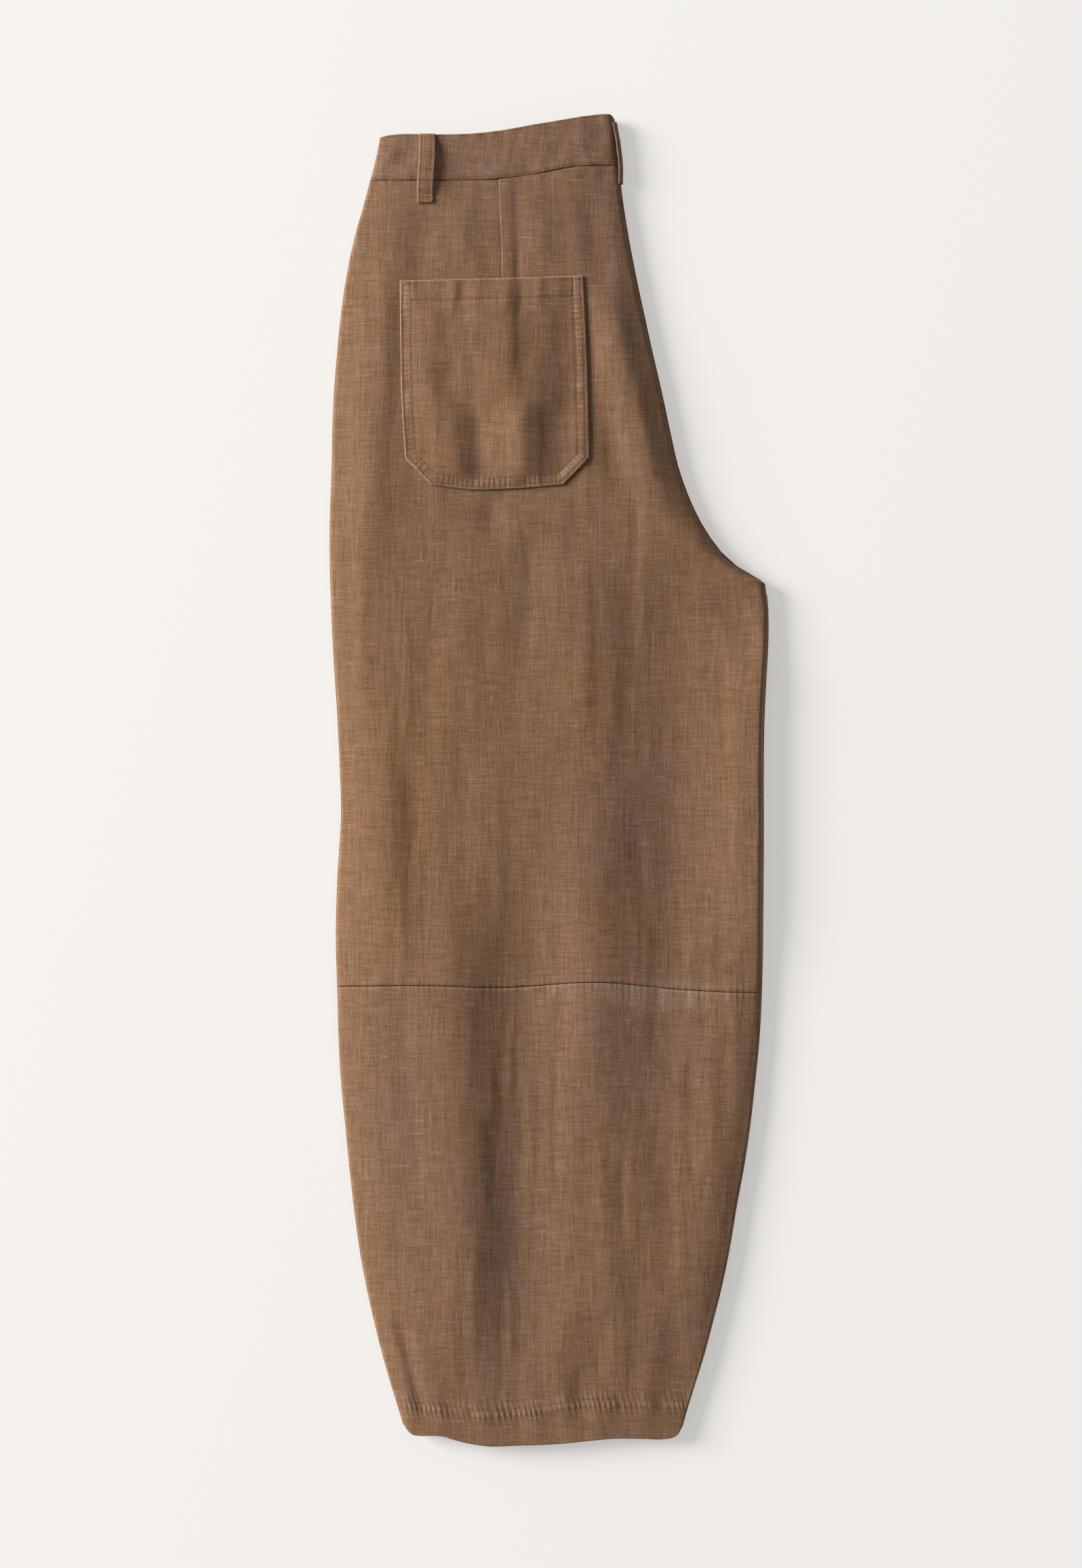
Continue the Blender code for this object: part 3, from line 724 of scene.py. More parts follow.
low, high = line(HEM_LINE), line(KNEE_LINE, -0.2 * MM)
span = high(1.0) - low(1.0)
hem_rows = np.concatenate(
    [
        np.array([0, 0.12, 0.3, 0.6, 1.0, 1.7, 2.6, 4.0, 6.0, 8.5, 11, 13.5]) * MM,
        np.arange(15.0, 37.5, 0.85) * MM,
    ]
)
rows = np.concatenate([hem_rows, rows_near(40 * MM, span, LOWER_ROWS_APART, False, True)])
lie = Lie(low, high, rows / span, LOWER_COLUMNS)
above_hem = lie.up - low(lie.share)
inside = lie.rounded()
place = (lie.share, lie.x, lie.up)
z = lie.skin() + inside * (hem_relief(*place) + knee_relief(*place))
z -= HEM_ROLL * roll_drop(above_hem / HEM_ROLL) * 1.3
lower_back = cloth_grid("lower_back_panel", stack_points(lie.x, lie.up, z), lie.x, lie.up)
knee_away = np.abs(lie.up - line_up(KNEE_LINE, lie.share))
KNEE_WEAR = [
    Spot(10, 345, 50, 5, 0.3), Spot(58, 342, 40, 7, 0.6), Spot(108, 340, 19, 9, 1.0),
    Spot(84, 333, 30, 7, 0.45),
]
worn = spots_at(KNEE_WEAR, lie.x, lie.up) * (0.7 + 0.6 * uneven(lie.x, 5 * MM, seed=8))
above_stitches = lie.up - line_up(HEM_STITCHES, lie.share)
between_rows = hump(above_stitches + HEM_ROWS_APART / 2, 2.6 * MM)
# The hem's puckers are paler on their crests, partly wear and partly painted highlight, with pale
# wear just above the upper row
hem_pucker = puckers(lie.x, HEM_PUCKER, seed=3)
hem_high = 0.15 + 0.6 * hem_pucker + 0.5 * uneven(lie.x, HEM_WAVE, seed=4)
hem_wear_and_highlight = between_rows * np.clip(hem_high, 0, 1)
step_wear = 0.25 * hump(above_stitches - 2.6 * MM, 1.8 * MM)
hem_wear_and_highlight += step_wear * (0.6 + 0.6 * uneven(lie.x, 5 * MM, seed=9))
worn += hem_wear_and_highlight + 0.22 * fading(knee_away, 1.6 * MM) + 0.3 * fading(above_hem, 0.8 * MM)
mauve = spots_at(MAUVE_SPOTS, lie.x, lie.up) + 0.15 * hem_wear_and_highlight
# Painted shade in the knee seam, in both hem stitch rows and in the troughs of the hem's puckers
deep = 0.3 * hump(knee_away, 0.5 * MM)
deep += 0.35 * sum(hump(above_stitches + down, 0.6 * MM) for down in (0, HEM_ROWS_APART))
deep += 0.3 * np.clip(-hem_pucker, 0, 1) * between_rows
paint(lower_back, worn=np.clip(worn, 0, 1), mauve=mauve, deep=deep)
give_thickness(lower_back, CLOTH)
finish_cloth(lower_back, panel_linen, "back_lower_panel")

# Upper back panel
# The back from the waist seam down to the knee seam, in one piece, with one dart pressed
# towards the centre back and stitched down beside its fold.

DART = [Knot(879, -35.7), Knot(905, -36.2), Knot(930, -37.4), Knot(952, -38.2)]
DART_FOOT = 872 * MM
DART_ROW_ASIDE = 1.3
UPPER_COLUMNS = 240
UPPER_ROWS_APART = 4.5 * MM
POCKET_CREASES = [
    Spot(-44, 698, 9, 14, -1.7), Spot(-29, 614, 15, 4, -0.45), Spot(131, 633, 7, 8, -0.8),
    Spot(-75, 700, 14, 12, 0.5), Spot(12, 702, 16, 9, 0.45), Spot(108, 660, 22, 12, -0.7),
]


def dart_relief(x, up):
    """The step of the dart: the doubled cloth lies on its right, towards the seat."""
    seam = smooth_through(DART, up / MM) * MM
    away = x - seam
    held = soft_step((up - DART_FOOT) / (8 * MM))
    doubled = 0.5 * soft_step(away / (0.9 * MM)) * (1 - soft_step((away - 7 * MM) / (6 * MM)))
    sunk = 0.55 * hump(away, 0.8 * MM)
    pull = 0.3 * hump(away, 9 * MM) * uneven(up, 7 * MM, seed=21)
    return held * (doubled - sunk + pull) * MM


def waist_relief(share, x, up):
    """Puckers below the waistband, and the step down from its thicker edge."""
    below = line_up(WAIST_LINE, share) - up
    short = uneven(x + 0.15 * below, 7 * MM, seed=22)
    long = uneven(x - 0.1 * below, 13 * MM, seed=23)
    pucker = 0.5 * short + 0.5 * long
    near = fading(below, 13 * MM) * soft_step(below / (2 * MM))
    return (0.62 * pucker * near - 0.7 * fading(below, 0.9 * MM)) * MM


def ripples(x, up):
    """Fine upright ripples beside the crotch, left by washing."""
    zone = hump(up - 604 * MM, 34 * MM) * soft_step((x - 5 * MM) / (20 * MM))
    return 0.32 * MM * zone * uneven(x + 0.06 * up, 7.5 * MM, seed=24)


low, high = line(KNEE_LINE, 0.2 * MM), line(WAIST_LINE, -0.15 * MM)
span = high(1.0) - low(1.0)
rows = rows_near(0, span, UPPER_ROWS_APART, True, True)
crotch = CROTCH_UP - low(1.0)
rows = np.unique(np.concatenate([rows, crotch + np.arange(-4, 26, 1.7) * MM]))
lie = Lie(low, high, rows / span, UPPER_COLUMNS)
inside = lie.rounded()
place = (lie.share, lie.x, lie.up)
relief = knee_relief(*place) + waist_relief(*place)
relief += dart_relief(lie.x, lie.up) + ripples(lie.x, lie.up)
relief += spots_at(POCKET_CREASES, lie.x, lie.up) * MM
z = lie.skin() + inside * relief
upper_back = cloth_grid("upper_back_panel", stack_points(lie.x, lie.up, z), lie.x, lie.up)
knee_away = np.abs(lie.up - line_up(KNEE_LINE, lie.share))
waist_away = line_up(WAIST_LINE, lie.share) - lie.up
dart_away = lie.x - smooth_through(DART, lie.up / MM) * MM
dart_held = soft_step((lie.up - DART_FOOT) / (3 * MM))
# A pale line beside the dart: painted highlight where its folded edge catches the light
dart_highlight = dart_held * hump(dart_away + 0.9 * MM, 0.9 * MM)
worn = spots_at(KNEE_WEAR, lie.x, lie.up) * (0.4 + 0.4 * uneven(lie.x, 7 * MM, seed=8))
worn += 0.2 * fading(knee_away, 1.6 * MM) + 0.55 * dart_highlight
mauve = spots_at(MAUVE_SPOTS, lie.x, lie.up)
# Painted shade in the knee and waist seams and in the dart's groove
deep = 0.3 * hump(knee_away, 0.5 * MM) + 0.3 * hump(waist_away, 1.2 * MM)
deep += 0.3 * dart_held * hump(dart_away, 0.7 * MM)
paint(upper_back, worn=np.clip(worn, 0, 1), mauve=mauve, deep=deep)
give_thickness(upper_back, CLOTH)
finish_cloth(upper_back, panel_linen, "back_upper_panel")

# Waistband
# The back half of a shaped waistband, two layers of linen with stiffening, rising to the
# centre back, turned over along its top edge and stitched all round close to its edges.

BAND_PROUD = 0.5 * MM
BAND_CLOTH = 1.7 * MM
BAND_ROLL = 1.0 * MM
BAND_DEPTH = 36 * MM
BAND_COLUMNS = 150
BAND_ROWS_APART = 1.5 * MM
BAND_SEWN = 1.4 * MM


def band_relief(lie):
    """Slanting puckers along the lower edge and a softly uneven middle."""
    above = lie.up - line_up(WAIST_LINE, lie.share)
    below_top = line_up(TOP_LINE, lie.share) - lie.up
    slant = lie.x + 0.35 * above
    pucker = uneven(slant, 5 * MM, seed=31) * 0.5 + uneven(slant, 11 * MM, seed=32) * 0.6
    low_part = fading(above, 12 * MM)
    top_part = 0.5 * fading(below_top, 7 * MM) * uneven(lie.x, 6 * MM, seed=33)
    middle = 1.1 * uneven(lie.x - 0.5 * above, 13 * MM, seed=34)
    middle *= uneven(lie.up + 0.2 * lie.x, 15 * MM, seed=38)
    middle *= np.sin(np.pi * np.clip(above / (34 * MM), 0, 1))
    rows = sum(
        0.22 * hump(away - 1.3 * MM, 0.7 * MM) for away in (above, below_top)
    )
    return (0.7 * pucker * low_part + top_part + middle - 1.3 * rows) * MM


low, high = line(WAIST_LINE, 0.15 * MM), line(TOP_LINE)
rows = rows_near(0, BAND_DEPTH, BAND_ROWS_APART, True, True) / BAND_DEPTH
lie = Lie(low, high, rows, BAND_COLUMNS, BAND_PROUD)
above = lie.up - low(lie.share)
below_top = high(lie.share) - lie.up
z = lie.skin() + lie.rounded() * (band_relief(lie) + BAND_PROUD)
z -= BAND_ROLL * roll_drop(below_top / BAND_ROLL) + 0.5 * MM * fading(above, 0.5 * MM)
waistband = cloth_grid("waistband_back", stack_points(lie.x, lie.up, z), lie.x, lie.up)
worn = 0.5 * fading(below_top, 0.8 * MM) + 0.35 * hump(above - 0.4 * MM, 0.7 * MM)
worn += 0.28 * np.clip(uneven(lie.x + 0.35 * above, 6 * MM, seed=31), 0, 1) * fading(above, 9 * MM)
worn += 0.25 * np.clip(uneven(lie.x, 14 * MM, seed=36) * uneven(lie.up, 12 * MM, seed=37), 0, 1)
worn *= 0.7 + 0.4 * uneven(lie.x, 5 * MM, seed=35)
mauve = spots_at(MAUVE_SPOTS, lie.x, lie.up) + 0.25
# Painted shade in the two stitch rows along the band's edges
band_row_shade = sum(hump(away - BAND_SEWN, 0.6 * MM) for away in (above, below_top))
paint(waistband, worn=np.clip(worn, 0, 1), mauve=mauve, deep=0.35 * band_row_shade)
give_thickness(waistband, BAND_CLOTH)
band_linen = linen("waistband linen", turn=0.12)
finish_cloth(waistband, band_linen, "waistband")

# Patch pocket
# One piece of linen with its edges turned under and its lower corners cut off, laid on the
# back and sewn down all round with two rows, its mouth hemmed by a band 15 mm deep.

POCKET_CLOTH = 1.1 * MM
POCKET_GAP = 0.35 * MM
POCKET_ROLL = 0.9 * MM
POCKET_BAND = 15.3 * MM
POCKET_OUTER_ROW = 2.2 * MM
POCKET_INNER_ROW = 8.4 * MM
MOUTH_ROW = 2.0 * MM
POCKET_CORNER = 20.7 * MM
POCKET_CUT = (0.05, 0.013)
SIDE_POINTS = 12
POCKET_LEFT = [Knot(743.4, -108.0), Knot(783, -110.7), Knot(832, -111.7), Knot(876.2, -112.2)]
POCKET_FOOT = [Knot(-88.7, 722.6), Knot(-60, 719.0), Knot(-28, 719.5), Knot(10.4, 722.7)]
POCKET_RIGHT = [Knot(742.4, 30.2), Knot(777, 29.6), Knot(830, 28.0), Knot(879.8, 25.5)]
POCKET_TOP = [Knot(-112.2, 876.2), Knot(-60, 877.0), Knot(-25, 877.9), Knot(25.5, 879.8)]


def pocket_path():
    """The sewn outline of the pocket, from its top left corner round to its top right."""
    down = np.linspace(POCKET_LEFT[-1].at, POCKET_LEFT[0].at, SIDE_POINTS)
    along = np.linspace(POCKET_FOOT[0].at, POCKET_FOOT[-1].at, SIDE_POINTS)
    up = np.linspace(POCKET_RIGHT[0].at, POCKET_RIGHT[-1].at, SIDE_POINTS)
    path = [(float(smooth_through(POCKET_LEFT, at)), at) for at in down]
    path += [(at, float(smooth_through(POCKET_FOOT, at))) for at in along]
    path += [(float(smooth_through(POCKET_RIGHT, at)), at) for at in up]
    return np.array(path) * MM


def distance_to(path, x, up):
    """Distance from each point to an open path, and how far along the path it is."""
    nearest = np.full(x.shape, 1e9)
    along = np.zeros(x.shape)
    gone = 0.0
    for (x0, up0), (x1, up1) in zip(path[:-1], path[1:]):
        dx, dup = x1 - x0, up1 - up0
        length = math.hypot(dx, dup)
        t = np.clip(((x - x0) * dx + (up - up0) * dup) / length**2, 0, 1)
        away = np.hypot(x - x0 - t * dx, up - up0 - t * dup)
        closer = away < nearest
        nearest = np.where(closer, away, nearest)
        along = np.where(closer, gone + t * length, along)
        gone += length
    return nearest, along


def over_skin(x, up):
    return loft_height(x, up, side_x(up), seat_x(up))


POCKET_FOLDS = [
    Fold(-52, 885, -30, 810, -14, 715, 30, 20, 3.4),
    Fold(-78, 800, -73, 758, -68, 716, 15, 9, 2.0),
    Fold(-54, 785, -52, 752, -50, 716, 8, 12, -1.9),
    Fold(-22, 790, -19, 755, -20, 716, 12, 9, 1.7),
    Fold(2, 790, 4, 755, 4, 716, 12, 12, -1.6),
    Fold(10, 870, 14, 810, 12, 750, 14, 13, -1.6),
    Fold(-88, 880, -92, 820, -88, 760, 15, 14, 1.4),
    Fold(-34, 882, -32, 868, -33, 850, 4, 4, 0.5),
    Fold(-22, 882, -21, 868, -23, 846, 3, 4, -0.5),
    Fold(-8, 882, -8, 868, -10, 850, 4, 4, 0.4),
    Fold(-72, 882, -71, 866, -74, 848, 4, 4, 0.35),
    Fold(-95, 858, -84, 838, -78, 812, 5, 7, 0.7),
]

outline = pocket_path()
rows_up = np.concatenate(
    [
        np.array([0, 0.5, 1.0, 1.6, 2.4]) * MM,
        np.arange(3.2, 136, 0.9) * MM,
        np.arange(136.6, 151.5, 0.9) * MM,
        np.array([152.6, 153.4, 154.1, 154.8, 155.4, 156.0]) * MM,
    ]
)
side_columns = np.concatenate([[0, 0.0035, 0.007, 0.011], np.arange(0.016, 0.09, 0.0053)])
columns = np.concatenate([side_columns, np.linspace(0.094, 0.906, 112), 1 - side_columns[::-1]])


def pocket_side(knots, foot_x):
    """One side's x in each row: slanting in at the cut corner, then up its own curve."""
    over_corner = (rows_up - POCKET_CORNER) / (rows_up[-1] - POCKET_CORNER)
    corner = np.clip(rows_up / POCKET_CORNER, 0, 1)
    curve_up = blend(knots[0].at, knots[-1].at, np.where(corner < 1, 0, over_corner))
    slant = blend(foot_x, knots[0].value, corner)
    return np.where(corner < 1, slant, smooth_through(knots, curve_up))[:, None] * MM


def pocket_end(knots):
    """The height of the pocket's foot or mouth in each column."""
    return smooth_through(knots, blend(knots[0].at, knots[-1].at, columns))[None, :] * MM


left = pocket_side(POCKET_LEFT, POCKET_FOOT[0].at)
right = pocket_side(POCKET_RIGHT, POCKET_FOOT[-1].at)
x = blend(left, right, columns[None, :])
top = pocket_end(POCKET_TOP)
up = blend(pocket_end(POCKET_FOOT), top, (rows_up / rows_up[-1])[:, None])
from_edge, along_edge = distance_to(outline, x, up)
below_top = top - up
edge = np.minimum(from_edge, below_top)
puff = soft_step(from_edge / (26 * MM))
folds = sum(fold_height(fold, x, up) for fold in POCKET_FOLDS)
held = soft_step(from_edge / (9 * MM))
sewn = hump(from_edge - 5.3 * MM, 3.6 * MM)
pucker = puckers(along_edge, 3.9 * MM, seed=41) * 0.5 + uneven(along_edge, 8 * MM, seed=42) * 0.5
stitch_sink = sum(hump(from_edge - row, 0.8 * MM) for row in (POCKET_OUTER_ROW, POCKET_INNER_ROW))
band_away = below_top - POCKET_BAND
inner_side = soft_step((from_edge - POCKET_INNER_ROW) / MM)
band_sink = hump(band_away, 0.8 * MM) * inner_side
band_pucker = uneven(x, 8 * MM, seed=43) * hump(band_away + 7 * MM, 12 * MM) * 0.6
band_step = 0.35 * soft_step(-band_away / MM) * inner_side
z = over_skin(x, up) + POCKET_GAP + POCKET_CLOTH + folds * held
z += (0.5 + 0.9 * puff + 0.5 * pucker * sewn - 0.32 * stitch_sink - 0.3 * band_sink) * MM
z += (band_pucker + band_step + 0.28 * uneven(x, 15 * MM, seed=44) * puff) * MM
z -= POCKET_ROLL * roll_drop(edge / POCKET_ROLL)
pocket = cloth_grid(
    "back_pocket", stack_points(x, up, z), x + POCKET_CUT[0], up + POCKET_CUT[1]
)
worn = 0.85 * hump(edge - 0.2 * MM, 0.75 * MM)
# Pale on the crests of the puckers beside the sewn edge: partly wear, partly painted highlight
worn += 0.5 * sewn * np.clip(pucker * 1.5, 0, 1) + 0.35 * sewn * np.clip(0.2 + pucker, 0, 1)
worn += 0.4 * np.clip(uneven(x, 9 * MM, seed=43), 0, 1) * hump(band_away, 2.2 * MM)
mauve = spots_at(MAUVE_SPOTS, x, up) + 0.16 * uneven(x, 30 * MM, seed=45) - 0.05
# Painted shade in the band's seam, in the stitch rows and in the troughs of the puckers
deep = 0.35 * hump(band_away, 0.8 * MM) * inner_side + 0.25 * stitch_sink
deep += 0.25 * sewn * np.clip(-pucker, 0, 1)
paint(pocket, worn=np.clip(worn, 0, 1), mauve=mauve, deep=deep)
give_thickness(pocket, POCKET_CLOTH)
pocket_linen = linen("pocket linen", turn=0.02)
finish_cloth(pocket, pocket_linen, "patch_pocket")

# Belt loops
# Strips of linen folded to 12 mm with two rows of stitches. One is sewn down at both ends
# over the waistband near the side seam, the other goes round the fold at the centre back.

LOOP_WIDTH = 12.2 * MM
LOOP_CLOTH = 1.3 * MM
LOOP_ROW = 2.3 * MM
LOOP_ARCH = 2.1 * MM
LOOP_ROLL = 0.8 * MM
LOOP_CUT = (0.31, 0.2)
SIDE_LOOP_X = [Knot(934.6, -93.4), Knot(950, -92.8), Knot(968, -91.6), Knot(986.4, -91.7)]


strip_across = np.array([0, 0.25, 0.5, 0.8, 1.2, 1.8, 2.3, 2.8, 3.6, 4.8, 6.1]) * MM
strip_across = np.concatenate([strip_across, LOOP_WIDTH - strip_across[:-1][::-1]])
strip_edge = np.minimum(strip_across, LOOP_WIDTH - strip_across)
strip_drop = LOOP_ROLL * roll_drop(strip_edge / LOOP_ROLL)
strip_sink = sum(
    hump(strip_across - row, 0.5 * MM) for row in (LOOP_ROW, LOOP_WIDTH - LOOP_ROW)
)
up = np.linspace(SIDE_LOOP_X[0].at, SIDE_LOOP_X[-1].at, 64)[:, None] * MM
from_foot, from_head = up - up[0], up[-1] - up
lower_arch = soft_step((from_foot - 4.5 * MM) / (11 * MM))
upper_arch = soft_step((from_head - 2 * MM) / (12 * MM))
middle = smooth_through(SIDE_LOOP_X, up / MM) * MM
x = middle - LOOP_WIDTH / 2 + strip_across[None, :] + 0.25 * MM * uneven(up, 9 * MM, seed=51)
up = up + np.zeros_like(x)
on_band = soft_step((up - 950 * MM) / (3 * MM))
z = over_skin(x, up) + 0.3 * MM + LOOP_CLOTH + (BAND_PROUD + 0.5 * MM) * on_band
z += LOOP_ARCH * lower_arch * upper_arch
z += (0.25 * uneven(up, 4.5 * MM, seed=52) - 0.22 * strip_sink[None, :]) * MM
z -= strip_drop[None, :]
side_loop = cloth_grid(
    "side_loop", stack_points(x, up, z), x + LOOP_CUT[0], up + LOOP_CUT[1]
)
loop_worn = 0.8 * fading(strip_edge, LOOP_ROLL)
loop_worn = np.clip(loop_worn[None, :] + 0.25 * uneven(up, 5 * MM, seed=53), 0, 1)
paint(side_loop, worn=loop_worn, mauve=0.25, deep=0)
give_thickness(side_loop, LOOP_CLOTH)
finish_cloth(side_loop, band_linen, "side_belt_loop")

BACK_LOOP_LOW = 949.9 * MM
BACK_LOOP_HIGH = 996.0 * MM
BACK_LOOP_BOW = 1.6 * MM
BACK_LOOP_ROWS = 48
up = np.linspace(BACK_LOOP_LOW, BACK_LOOP_HIGH, BACK_LOOP_ROWS)[:, None]
radius = EDGE_TOP / 2 + BAND_PROUD + 0.45 * MM + LOOP_CLOTH
turn = np.radians(blend(60, -38, strip_across / LOOP_WIDTH))[None, :]
reach = radius - (strip_drop + 0.2 * MM * strip_sink)[None, :]
share = (up - BACK_LOOP_LOW) / (BACK_LOOP_HIGH - BACK_LOOP_LOW)
bow = BACK_LOOP_BOW * np.sin(np.pi * share) + 0.3 * MM * uneven(up, 9 * MM, seed=54)
x = seat_x(up) - EDGE_TOP / 2 + bow + reach * np.cos(turn)
z = EDGE_TOP / 2 + reach * np.sin(turn) + np.zeros_like(x)
up = up + np.zeros_like(x)
across = strip_across[None, :] + np.zeros_like(x)
back_loop = cloth_grid("back_loop", stack_points(x, up, z), across, up)
# The whole centre back loop is darkened a little with painted shade, as it stands edge-on at the
# fold
paint(back_loop, worn=loop_worn[:BACK_LOOP_ROWS] * 0.6, mauve=0.2, deep=0.1)
give_thickness(back_loop, LOOP_CLOTH)
finish_cloth(back_loop, band_linen, "back_belt_loop")

# Sewing thread
# Golden brown polyester thread, stitches 2.2 mm apart that sink into the cloth, with close
# bar tacks across the ends of the loops and the corners of the pocket.

STITCH_PITCH = 2.2 * MM
STITCH_LENGTH = 1.65 * MM
THREAD = 0.6 * MM
TACK_PITCH = 0.5 * MM
TACK_LENGTH = 1.7 * MM
DROP_FROM = 0.1
STEEPEST_CLOTH = 0.15
THREAD_DARK = (0.17, 0.062, 0.013, 1)
THREAD_LIGHT = (0.40, 0.165, 0.034, 1)

thread = bpy.data.materials.new("thread")
thread.use_nodes = True
tree = thread.node_tree
thread_shader = tree.nodes["Principled BSDF"]
place = add_node(tree, "ShaderNodeTexCoord").outputs["Object"]
fibre = add_node(tree, "ShaderNodeTexNoise", noise_dimensions="3D")
fibre.inputs["Scale"].default_value = 420
tree.links.new(place, fibre.inputs["Vector"])
thread_colour = tint(tree, spread(tree, fibre.outputs["Fac"], 0.3, 0.7), THREAD_DARK, THREAD_LIGHT)
tree.links.new(thread_colour, thread_shader.inputs["Base Color"])
thread_shader.inputs["Roughness"].default_value = 0.6
thread_shader.inputs["Sheen Weight"].default_value = 0.2

bpy.ops.mesh.primitive_uv_sphere_add(segments=6, ring_count=4, radius=0.5)
stitch = bpy.context.object
STITCH_SHAPE = np.array([vertex.co[:] for vertex in stitch.data.vertices])[:, [2, 0, 1]]
STITCH_FACES = [tuple(face.vertices) for face in stitch.data.polygons]
bpy.data.objects.remove(stitch, do_unlink=True)


def evenly(path, pitch):
    """Points a pitch apart along a path, with the path's direction at each."""
    path = np.asarray(path, float)
    steps = np.hypot(*np.diff(path, axis=0).T)
    gone = np.concatenate([[0], np.cumsum(steps)])
    at = np.arange(pitch / 2, gone[-1], pitch)
    places = np.stack([np.interp(at, gone, path[:, k]) for k in (0, 1)], axis=1)
    ahead = np.stack([np.interp(at + 0.4 * MM, gone, path[:, k]) for k in (0, 1)], axis=1)
    behind = np.stack([np.interp(at - 0.4 * MM, gone, path[:, k]) for k in (0, 1)], axis=1)
    along = ahead - behind
    return places, along / np.maximum(np.hypot(*along.T), 1e-9)[:, None]


def sew(name, cloth, paths, pitch=STITCH_PITCH, length=STITCH_LENGTH, slant=8, seed=61):
    """Rows of stitches along the paths, each dropped on to the cloth. slant in degrees."""
    chance = np.random.RandomState(seed)
    vertices, faces = [], []
    for path in paths:
        places, along = evenly(path, pitch)
        for (x, up), (dx, dy) in zip(places, along):
            start = Vector((x, up - LENGTH / 2, DROP_FROM))
            hit, spot, normal, _ = cloth.ray_cast(start, Vector((0, 0, -1)))
            if not hit or normal.z < STEEPEST_CLOTH:
                continue
            spot, normal = np.array(spot), np.array(normal)
            turn = math.radians(slant + chance.uniform(-5, 5))
            way = np.array([
                dx * math.cos(turn) - dy * math.sin(turn),
                dx * math.sin(turn) + dy * math.cos(turn),
                0.0,
            ])
            way -= normal * way.dot(normal)
            way /= np.linalg.norm(way)
            aside = np.cross(normal, way)
            size = length * chance.uniform(0.92, 1.08)
            shape = (
                STITCH_SHAPE[:, :1] * size * way
                + STITCH_SHAPE[:, 1:2] * THREAD * aside
                + STITCH_SHAPE[:, 2:] * THREAD * 0.9 * normal
            )
            first = len(vertices) * len(STITCH_SHAPE)
            vertices.append(shape + spot + normal * 0.06 * MM)
            faces += [tuple(first + corner for corner in face) for face in STITCH_FACES]
    mesh = bpy.data.meshes.new(name)
    mesh.from_pydata(np.concatenate(vertices).tolist(), [], faces)
    mesh.shade_smooth()
    row = bpy.data.objects.new(name, mesh)
    bpy.context.scene.collection.objects.link(row)
    row.data.materials.append(thread)
    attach(row, "root")


def across_panel(knots, shift=0.0, start=0.008, end=0.992):
    """A path across the garment along one of its lines, moved up by shift."""
    share = np.linspace(start, end, 80)
    up = line_up(knots, share) + shift
    left, right = side_x(up[0]), seat_x(up[-1])
    return np.stack([blend(left, right, share), up], axis=1)


def inset(path, depth):
    """The pocket's outline moved inwards, with its corners kept sharp."""
    keep = [side * SIDE_POINTS + end for side in range(3) for end in (0, SIDE_POINTS - 1)]
    moved = []
    for first, last in zip(keep[:-1], keep[1:]):
        run = path[first : last + 1]
        way = np.gradient(run, axis=0)
        way /= np.hypot(*way.T)[:, None]
        moved.append(run + depth * np.stack([-way[:, 1], way[:, 0]], axis=1))
    corners = []
    for one, other in zip(moved[:-1], moved[1:]):
        p, r = one[-1], one[-1] - one[-2]
        q, s = other[0], other[1] - other[0]
        t = ((q[0] - p[0]) * s[1] - (q[1] - p[1]) * s[0]) / (r[0] * s[1] - r[1] * s[0])
        corners.append(p + t * r)
    joined = [moved[0][:-1]]
    for corner_point, run in zip(corners, moved[1:]):
        joined.append(corner_point[None, :])
        joined.append(run[1:-1])
    joined.append(moved[-1][-1:])
    return np.concatenate(joined)


sew(
    "hem_stitches",
    lower_back,
    [across_panel(HEM_STITCHES), across_panel(HEM_STITCHES, -HEM_ROWS_APART)],
)
sew(
    "waistband_stitches",
    waistband,
    [across_panel(WAIST_LINE, BAND_SEWN), across_panel(TOP_LINE, -BAND_SEWN, 0.02, 0.975)],
)
dart_up = np.linspace(875, 951.5, 20)
sew(
    "dart_stitches",
    upper_back,
    [np.stack([smooth_through(DART, dart_up) + DART_ROW_ASIDE, dart_up], axis=1) * MM],
)
top_x = np.linspace(-110, 23.5, 30)
top_path = np.stack([top_x, smooth_through(POCKET_TOP, top_x)], axis=1) * MM
mouth_row = top_path - np.array([0, MOUTH_ROW])
band_row = top_path[(top_x > -102) & (top_x < 15.5)] - np.array([0, POCKET_BAND])
outer_row, inner_row = inset(outline, POCKET_OUTER_ROW), inset(outline, POCKET_INNER_ROW)
sew("pocket_stitches", pocket, [outer_row, inner_row, mouth_row, band_row])
loop_up = np.linspace(935.4, 985.6, 20)
loop_x = smooth_through(SIDE_LOOP_X, loop_up)
half_row = (LOOP_WIDTH / 2 - LOOP_ROW) / MM
loop_rows = [np.stack([loop_x + side * half_row, loop_up], axis=1) * MM for side in (-1, 1)]
sew("side_loop_stitches", side_loop, loop_rows)


def tack(x0, up0, x1, up1):
    return np.array([(x0, up0), (x1, up1)]) * MM


sew(
    "loop_bar_tacks",
    side_loop,
    [
        tack(-98.6, 936.0, -88.0, 936.0), tack(-98.4, 940.0, -88.0, 940.0),
        tack(-96.6, 984.6, -86.4, 984.8),
    ],
    pitch=TACK_PITCH, length=TACK_LENGTH, slant=80,
)
sew(
    "pocket_bar_tacks",
    pocket,
    [
        tack(-110.2, 874.4, -103.4, 874.5), tack(17.0, 877.9, 23.6, 878.0),
        tack(-110.0, 874.6, -109.9, 864.8), tack(16.8, 877.6, 17.0, 868.0),
    ],
    pitch=TACK_PITCH, length=TACK_LENGTH, slant=84,
)

# Hidden layers
# Under the back lie both fronts and the far leg's back, folded at the side seams and the
# seat. Only their edges, their hems and the flat underside show.

